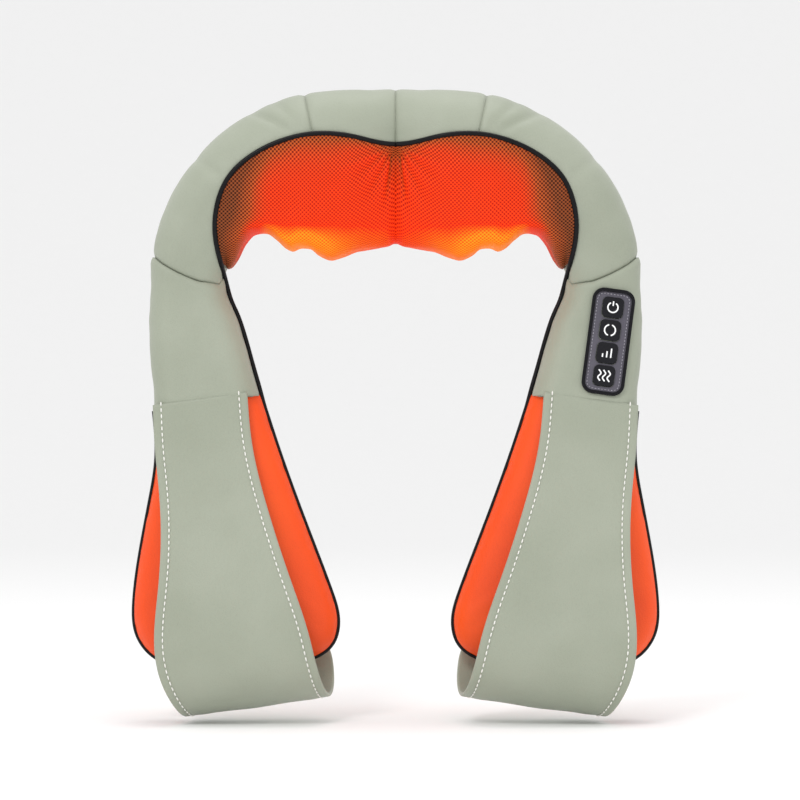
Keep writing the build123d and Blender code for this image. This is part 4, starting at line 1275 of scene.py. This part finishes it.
@dataclass
class HandStraps:
    """The leather hand straps: down the front of each pouch, round its end and up behind it."""

    frame: PouchFrame
    thickness: float = 3.2
    top_w: float = 20.2
    loop_radius: float = 37.2
    loop_v: float = -199.0
    end_v: float = -115.0
    pouch_half: float = 18.0
    shear: float = 0.16
    stitch_inset: float = 6.5
    stitch_length: float = 3.4
    stitch_pitch: float = 4.7
    stitch_radius: float = 0.62
    left: list[tuple[float, float]] = field(
        default_factory=lambda: [
            (0.0, -37.3),
            (-33.0, -39.8),
            (-58.0, -40.4),
            (-87.0, -42.0),
            (-140.0, -50.4),
            (-188.0, -58.5),
            (-212.0, -56.0),
            (-240.0, -49.0),
        ]
    )
    right: list[tuple[float, float]] = field(
        default_factory=lambda: [
            (0.0, 36.0),
            (-33.0, 34.6),
            (-87.0, 39.9),
            (-140.0, 49.6),
            (-190.0, 59.0),
            (-226.0, 61.5),
            (-250.0, 62.0),
        ]
    )

    def path(self) -> Grid:
        """The strap's middle line seen from its edge: forwards and up, from the hem to its back end."""
        half = self.thickness / 2.0
        radius = self.loop_radius - half
        loop_w = radius - self.pouch_half - half
        front_w = loop_w + radius
        line = []
        for i in range(41):
            share = i / 40.0
            line.append((self.top_w + (front_w - self.top_w) * float(smooth(share)), 3.0 + (self.loop_v - 3.0) * share))
        for i in range(1, 49):
            a = -math.pi * i / 48.0
            line.append((loop_w + radius * math.cos(a), self.loop_v + radius * math.sin(a)))
        for i in range(1, 17):
            line.append((loop_w - radius, self.loop_v + (self.end_v - self.loop_v) * i / 16.0))
        self.front_w = front_w
        return resample(line, 2.2)

    def edge_u(self, knots: list[tuple[float, float]], v: Grid, w: Grid) -> Grid:
        """Where an edge lies across, at heights v and depths w."""
        table = np.array(knots[::-1], float)
        across = natural_curve(table[:, 0], table[:, 1:], v)[:, 0]
        return across + self.shear * (self.front_w - w) * smooth((-v - 150.0) / 60.0)

    def grid(self, shares: Grid) -> tuple[Grid, Grid, Grid]:
        """The strap's middle surface.

        Args:
            shares: Places across the strap, from 0 at its outer edge to 1.

        Returns:
            The points, their outward normals and the distance across from each edge.
        """
        path = self.path()
        w, v = path[:, 0], path[:, 1]
        low = self.edge_u(self.left, v, w)
        high = self.edge_u(self.right, v, w)
        u = low[:, None] + (high - low)[:, None] * shares[None, :]
        points = self.frame.place(u, np.repeat(v[:, None], len(shares), 1), np.repeat(w[:, None], len(shares), 1))
        normals = grid_normals(points, False)
        centre = self.frame.place(np.array(0.0), np.array(self.loop_v), np.array(0.0))
        if np.sum(normals[len(path) // 2] * (points[len(path) // 2] - centre)) < 0:
            normals = -normals
        width = (high - low)[:, None]
        return points, normals, np.minimum(shares[None, :], 1.0 - shares[None, :]) * width

    def body(self, name: str, side: Side) -> bpy.types.Object:
        """The strap as a closed band with rounded edges, and a seam channel beside each."""
        across = (1.0 - np.cos(np.linspace(0.0, math.pi, 61))) / 2.0
        points, normals, off = self.grid(across)
        half = self.thickness / 2.0 * np.sqrt(np.clip(1.0 - np.square(1.0 - np.clip(off / 1.6, 0.0, 1.0)), 0.03, 1.0))
        channel = 0.55 * bump((off - self.stitch_inset) / 1.1)
        puff = 0.5 * smooth((off - self.stitch_inset) / 10.0)
        waves = 0.5 * soft_noise(points, 30.0, 21.0) * smooth(off / 12.0)
        outer = points + normals * (half - channel + puff + waves)[..., None]
        inner = points - normals * half[..., None]
        rows, columns = off.shape
        grid = np.concatenate([outer, inner[:, ::-1]], axis=1)
        faces = grid_faces(rows, 2 * columns, True)
        for row in (0, rows - 1):
            base = row * 2 * columns
            for j in range(columns - 1):
                faces.append((base + j, base + j + 1, base + 2 * columns - 2 - j, base + 2 * columns - 1 - j))
        return mesh_piece(name, grid.reshape(-1, 3), faces, side)

    def stitches(self, name: str, side: Side) -> bpy.types.Object:
        """Both rows of thread, laid along the seam channels by a stitch tree."""
        curves = []
        for sign in (0, 1):
            shares = np.linspace(0.0, 1.0, 81)
            points, normals, off = self.grid(shares)
            width = off[:, 40] * 2.0
            place = self.stitch_inset / width
            place = place if sign == 0 else 1.0 - place
            index = place * 80.0
            low = np.floor(index).astype(int)
            part = (index - low)[:, None]
            rows = np.arange(len(points))
            line = points[rows, low] * (1 - part) + points[rows, low + 1] * part
            lift = normals[rows, low] * (self.thickness / 2.0 + 0.05)
            curves.append(line + lift)
        return stitch_rows(name, curves, side, self.stitch_length, self.stitch_pitch, self.stitch_radius)

    def build(self, wardrobe: Wardrobe) -> None:
        """Make and dress both straps and their stitching."""
        for side in Side:
            strap = self.body(f"strap_{side.word}", side)
            wardrobe.dress(strap, SAGE)
            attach(strap, side.arm)
            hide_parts(f"hand_strap_{side.word}")
            thread = self.stitches(f"strap_thread_{side.word}", side)
            wardrobe.dress(thread, THREAD)
            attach(thread, side.arm)
            log.info("%s with %d thread points", strap.name, len(thread.data.vertices))


def stitch_tree(length: float, pitch: float, radius: float) -> bpy.types.NodeTree:
    """A tree that lays thread stitches along curves.

    Args:
        length: Length of a stitch, in metres.
        pitch: Distance from one stitch to the next.
        radius: Radius of the thread.

    Returns:
        The node group, with its sizes as named inputs.
    """
    tree = bpy.data.node_groups.new("stitch_row", "GeometryNodeTree")
    face = tree.interface
    face.new_socket("Geometry", in_out="INPUT", socket_type="NodeSocketGeometry")
    for name, value in (("Length", length), ("Pitch", pitch), ("Radius", radius)):
        socket = face.new_socket(name, in_out="INPUT", socket_type="NodeSocketFloat")
        socket.default_value = value
    face.new_socket("Thread", in_out="INPUT", socket_type="NodeSocketMaterial")
    face.new_socket("Geometry", in_out="OUTPUT", socket_type="NodeSocketGeometry")
    add = tree.nodes.new
    link = tree.links.new
    source = add("NodeGroupInput")
    spots = add("GeometryNodeCurveToPoints")
    spots.mode = "LENGTH"
    link(source.outputs["Geometry"], spots.inputs["Curve"])
    link(source.outputs["Pitch"], spots.inputs["Length"])
    capsule = add("GeometryNodeMeshUVSphere")
    capsule.inputs["Segments"].default_value = 6
    capsule.inputs["Rings"].default_value = 6
    capsule.inputs["Radius"].default_value = 1.0
    size = add("ShaderNodeCombineXYZ")
    half = add("ShaderNodeMath")
    half.operation = "MULTIPLY"
    half.inputs[1].default_value = 0.5
    link(source.outputs["Length"], half.inputs[0])
    link(source.outputs["Radius"], size.inputs[0])
    link(source.outputs["Radius"], size.inputs[1])
    link(half.outputs[0], size.inputs[2])
    stretch = add("GeometryNodeTransform")
    link(capsule.outputs["Mesh"], stretch.inputs["Geometry"])
    link(size.outputs[0], stretch.inputs["Scale"])
    lay = add("GeometryNodeInstanceOnPoints")
    link(spots.outputs["Points"], lay.inputs["Points"])
    link(stretch.outputs["Geometry"], lay.inputs["Instance"])
    link(spots.outputs["Rotation"], lay.inputs["Rotation"])
    real = add("GeometryNodeRealizeInstances")
    link(lay.outputs["Instances"], real.inputs["Geometry"])
    dye = add("GeometryNodeSetMaterial")
    link(real.outputs["Geometry"], dye.inputs["Geometry"])
    link(source.outputs["Thread"], dye.inputs["Material"])
    output = add("NodeGroupOutput")
    link(dye.outputs["Geometry"], output.inputs["Geometry"])
    return tree


def stitch_rows(
    name: str, rows: Sequence[Grid], side: Side, length: float, pitch: float, radius: float
) -> bpy.types.Object:
    """A plain mesh of stitches along rows of points.

    Args:
        name: The piece's name.
        rows: One line of points for each row of stitches, in millimetres.
        side: The side it is wanted on.
        length: Length of a stitch.
        pitch: Distance between stitches.
        radius: Radius of the thread.

    Returns:
        The stitches as one mesh object.
    """
    curve = bpy.data.curves.new(name + "_line", "CURVE")
    curve.dimensions = "3D"
    for row in rows:
        placed = side.place(row) * MM
        spline = curve.splines.new("POLY")
        spline.points.add(len(placed) - 1)
        spline.points.foreach_set("co", np.append(placed, np.ones((len(placed), 1)), axis=1).ravel())
    holder = bpy.data.objects.new(name + "_line", curve)
    bpy.context.scene.collection.objects.link(holder)
    layer = holder.modifiers.new("stitches", "NODES")
    tree = stitch_tree(length * MM, pitch * MM, radius * MM)
    layer.node_group = tree
    graph = bpy.context.evaluated_depsgraph_get()
    mesh = bpy.data.meshes.new_from_object(holder.evaluated_get(graph))
    bpy.data.objects.remove(holder)
    mesh.name = name
    piece = bpy.data.objects.new(name, mesh)
    bpy.context.scene.collection.objects.link(piece)
    shade_smooth(piece)
    return piece


@dataclass
class Piping:
    """The black piping: round the mesh window, down each arm's inner edge and round the pouch."""

    body: PaddedBody
    window: WindowEdge
    frame: PouchFrame
    radius: float = 1.9
    proud: float = 0.6
    arm_proud: float = 1.3
    pouch_proud: float = 0.9
    corner_angle: float = 169.0
    arm_angle: float = 181.5
    arm_forward: float = 7.0

    def path(self) -> Grid:
        """The piping's middle line on the left half."""
        s = np.linspace(0.0, self.body.at_angle(self.corner_angle), 30)
        out = self.window.reach(s)
        upper = self.body.point(s, out, self.body.front_at(s, out)) + np.array([0.0, -self.proud, 0.0])
        down = np.linspace(0.0, 1.0, 8)
        first, last = self.body.at_angle(self.arm_angle), self.body.end - 6.0
        s = first + (last - first) * down
        inner = self.body.frames(s)[3][:, 0]
        lower = self.body.point(s, inner - self.arm_proud, -1.0 - self.arm_forward * (1.0 - down) ** 1.5)
        edge = self.frame.edge(-self.pouch_proud, 9.0)
        around = self.frame.place(edge[:, 0], np.minimum(edge[:, 1], 0.0), np.zeros(len(edge)))
        return resample(np.concatenate([upper, lower, around[1:]]), 2.0)

    def build(self, wardrobe: Wardrobe) -> None:
        """Make and dress both cords of piping."""
        path = self.path()
        for side in Side:
            piece = tube_piece(f"piping_{side.word}", path, self.radius, side)
            wardrobe.dress(piece, PIPING)
            bend_at_shoulder(piece)
            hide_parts("collar_piping", f"arm_piping_{side.word}")
            log.info("%s: %d points", piece.name, len(piece.data.vertices))


# ---- control panel --------------------------------------------------------------------------------
@dataclass
class ControlPanel:
    """Symbols on the four keys and the stitching round the pad, on the right arm's panel."""

    origin: tuple[float, float, float] = (163.5, -13.6, -112.0)
    lean: float = 8.0
    pitch: float = 9.3
    key_pitch: float = 17.9
    key_top: float = 1.5
    stroke: float = 0.62
    lift: float = 0.06
    pad_width: float = 29.8
    pad_length: float = 79.8
    pad_corner: float = 7.4
    stitch_inset: float = 2.5

    def place(self, u: Grid, v: Grid, w: Grid) -> Grid:
        """Points from their distances across, up and out of the panel."""
        lean = math.radians(self.lean)
        pitch = math.radians(self.pitch)
        across = np.array([math.cos(lean), 0.0, -math.sin(lean)])
        out = np.array([math.sin(lean) * math.sin(pitch), -math.cos(pitch), math.cos(lean) * math.sin(pitch)])
        up = np.cross(out, across)
        parts = [np.asarray(part, float)[..., None] * axis for part, axis in zip((u, v, w), (across, up, out))]
        return np.array(self.origin) + parts[0] + parts[1] + parts[2]

    def symbols(self) -> dict[str, list[Grid]]:
        """The strokes of each key's symbol, as lines across and up from the key's middle."""
        circle = lambda r, a, b: np.array(
            [(r * math.cos(math.radians(t)), r * math.sin(math.radians(t))) for t in np.linspace(a, b, 40)]
        )
        power = [circle(3.9, 120.0, 420.0), np.array([(0.0, 1.2), (0.0, 4.9)])]
        direction = [circle(4.2, 105.0, 255.0), circle(4.2, -75.0, 75.0)]
        speed = [np.array([(x, -3.6), (x, top)]) for x, top in ((-3.2, -0.9), (0.0, 1.3), (3.2, 3.8))]
        wave = lambda x: np.array([(x + 1.0 * math.sin(t * 0.95), t) for t in np.linspace(-4.4, 4.4, 40)])
        heat = [wave(x) for x in (-3.6, 0.0, 3.6)]
        return {"key_power": power, "key_direction": direction, "key_speed": speed, "key_heat": heat}

    def stroke_mesh(self, lines: list[Grid], middle: float) -> tuple[list[Grid], list[Face]]:
        """Flat raised strokes along lines, as points and faces."""
        points: list[Grid] = []
        faces: list[Face] = []
        for line in lines:
            fine = resample(line, 0.35) if len(line) > 2 else np.linspace(line[0], line[1], 8)
            ahead = unit(np.gradient(fine, axis=0))
            beside = np.stack([-ahead[:, 1], ahead[:, 0]], axis=1) * self.stroke
            base = sum(len(block) for block in points)
            rings = []
            for sign, height in ((-1.0, -0.2), (-0.8, self.lift), (0.8, self.lift), (1.0, -0.2)):
                spot = fine + beside * sign
                level = np.full(len(spot), self.key_top + height)
                rings.append(self.place(spot[:, 0], spot[:, 1] + middle, level))
            points.append(np.stack(rings, axis=1).reshape(-1, 3))
            found = grid_faces(len(fine), 4, True)
            found.append((0, 1, 2, 3))
            found.append(tuple((len(fine) - 1) * 4 + k for k in range(4)))
            faces.extend(tuple(k + base for k in face) for face in found)
        return points, faces

    def build(self, wardrobe: Wardrobe) -> None:
        """Make and dress the symbols and the pad's stitching."""
        for index, (key, lines) in enumerate(self.symbols().items()):
            points, faces = self.stroke_mesh(lines, (1.5 - index) * self.key_pitch)
            piece = mesh_piece(key.replace("key", "symbol"), mirror_x(np.concatenate(points)), faces, Side.RIGHT)
            wardrobe.dress(piece, ICON)
            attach(piece, key)
            log.info("%s on %s", piece.name, key)
        line = self.pad_line()
        thread = stitch_rows("pad_thread", [mirror_x(line)], Side.RIGHT, 1.5, 2.5, 0.3)
        wardrobe.dress(thread, PAD_STITCH)
        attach(thread, "arm_right")

    def pad_line(self) -> Grid:
        """The rounded rectangle that the pad's stitching follows."""
        half_w = self.pad_width / 2.0 - self.stitch_inset
        half_l = self.pad_length / 2.0 - self.stitch_inset
        r = self.pad_corner - self.stitch_inset
        spots = []
        for cx, cy, start in ((half_w - r, half_l - r, 0), (r - half_w, half_l - r, 90), (r - half_w, r - half_l, 180), (half_w - r, r - half_l, 270)):
            for t in np.linspace(0.0, 90.0, 7):
                a = math.radians(start + t)
                spots.append((cx + r * math.cos(a), cy + r * math.sin(a)))
        spots.append(spots[0])
        outline = np.array(spots)
        along = lengths(outline)
        wanted = np.linspace(0.0, along[-1], 220)
        u = np.interp(wanted, along, outline[:, 0])
        v = np.interp(wanted, along, outline[:, 1])
        return self.place(u, v, np.full(len(u), 0.1))


def mirror_x(points: Grid) -> Grid:
    """Points mirrored left to right."""
    return points * np.array([-1.0, 1.0, 1.0])


# ---- stage ----------------------------------------------------------------------------------------
@dataclass
class Studio:
    """A pale floor, soft light and the camera, straight in front."""

    view_width: float = 0.618
    middle_x: float = 0.0034
    middle_z: float = -0.1567
    distance: float = 2.6
    sensor: float = 36.0
    half_width: float = 9.0
    cove_start: float = 3.0
    cove_radius: float = 4.0

    def build(self, wardrobe: Wardrobe) -> None:
        """Make the floor, the lights and the camera."""
        low = cad_box[0].z - 0.004
        profile = [(-self.half_width, low)]
        for degrees in range(0, 91, 3):
            a = math.radians(degrees)
            run, rise = self.cove_radius * math.sin(a), self.cove_radius * (1.0 - math.cos(a))
            profile.append((self.cove_start + run, low + rise))
        rows = [[(x, y, z) for x in (-self.half_width, self.half_width)] for y, z in profile]
        floor = mesh_piece("floor", np.array(rows).reshape(-1, 3) / MM, grid_faces(len(rows), 2, False), Side.LEFT)
        wardrobe.dress(floor, Moulded("floor_white", (0.94, 0.94, 0.94), 0.95, 60.0, 0.0, gloss=0.1, mottle=0.99))
        shade_smooth(floor)
        world = bpy.data.worlds.new("studio")
        bpy.context.scene.world = world
        world.use_nodes = True
        world.node_tree.nodes["Background"].inputs["Color"].default_value = (1.0, 1.0, 1.0, 1.0)
        world.node_tree.nodes["Background"].inputs["Strength"].default_value = 0.92
        bpy.context.scene.view_settings.view_transform = "Standard"
        self.lamp("key_light", (-0.9, -1.7, 1.6), 0.7, 16.0)
        self.lamp("fill_light", (1.5, -1.7, 0.5), 1.6, 3.0)
        self.lamp("top_light", (0.1, 0.2, 1.9), 1.0, 10.0)
        camera_data = bpy.data.cameras.new("camera")
        camera_data.sensor_width = self.sensor
        camera_data.lens = self.sensor * self.distance / self.view_width
        camera = bpy.data.objects.new("camera", camera_data)
        bpy.context.scene.collection.objects.link(camera)
        camera.location = (self.middle_x, -self.distance, self.middle_z)
        camera.rotation_euler = (math.pi / 2.0, 0.0, 0.0)
        bpy.context.scene.camera = camera

    def lamp(self, name: str, place: tuple[float, float, float], size: float, power: float) -> None:
        """Add one square soft light aimed at the object's middle."""
        data = bpy.data.lights.new(name, "AREA")
        data.energy = power
        data.size = size
        light = bpy.data.objects.new(name, data)
        bpy.context.scene.collection.objects.link(light)
        light.location = place
        aim = Vector((0.0, 0.0, self.middle_z)) - Vector(place)
        light.rotation_euler = aim.to_track_quat("-Z", "Y").to_euler()


def dress_cad_nodes(wardrobe: Wardrobe) -> None:
    """Give every CAD node that stays its own finish."""
    for name, node in frame["nodes"].items():
        for start, finish in NODE_FINISHES.items():
            if name.startswith(start):
                wardrobe.dress(node, finish)
                break


def main() -> None:
    """Build the massager piece by piece."""
    logging.basicConfig(level=logging.INFO, format="%(name)s %(message)s")
    wardrobe = Wardrobe()
    Studio().build(wardrobe)
    body = PaddedBody()
    window = WindowEdge(body)
    hem = WavyHem(body)
    pouch = PouchFrame()
    dress_cad_nodes(wardrobe)
    LeatherPanels(body, window, hem).build(wardrobe)
    MeshWindow(body, window, hem).build(wardrobe)
    Pouches(pouch).build(wardrobe)
    HandStraps(pouch).build(wardrobe)
    Piping(body, window, pouch).build(wardrobe)
    ControlPanel().build(wardrobe)


if __name__ == "__main__":
    main()
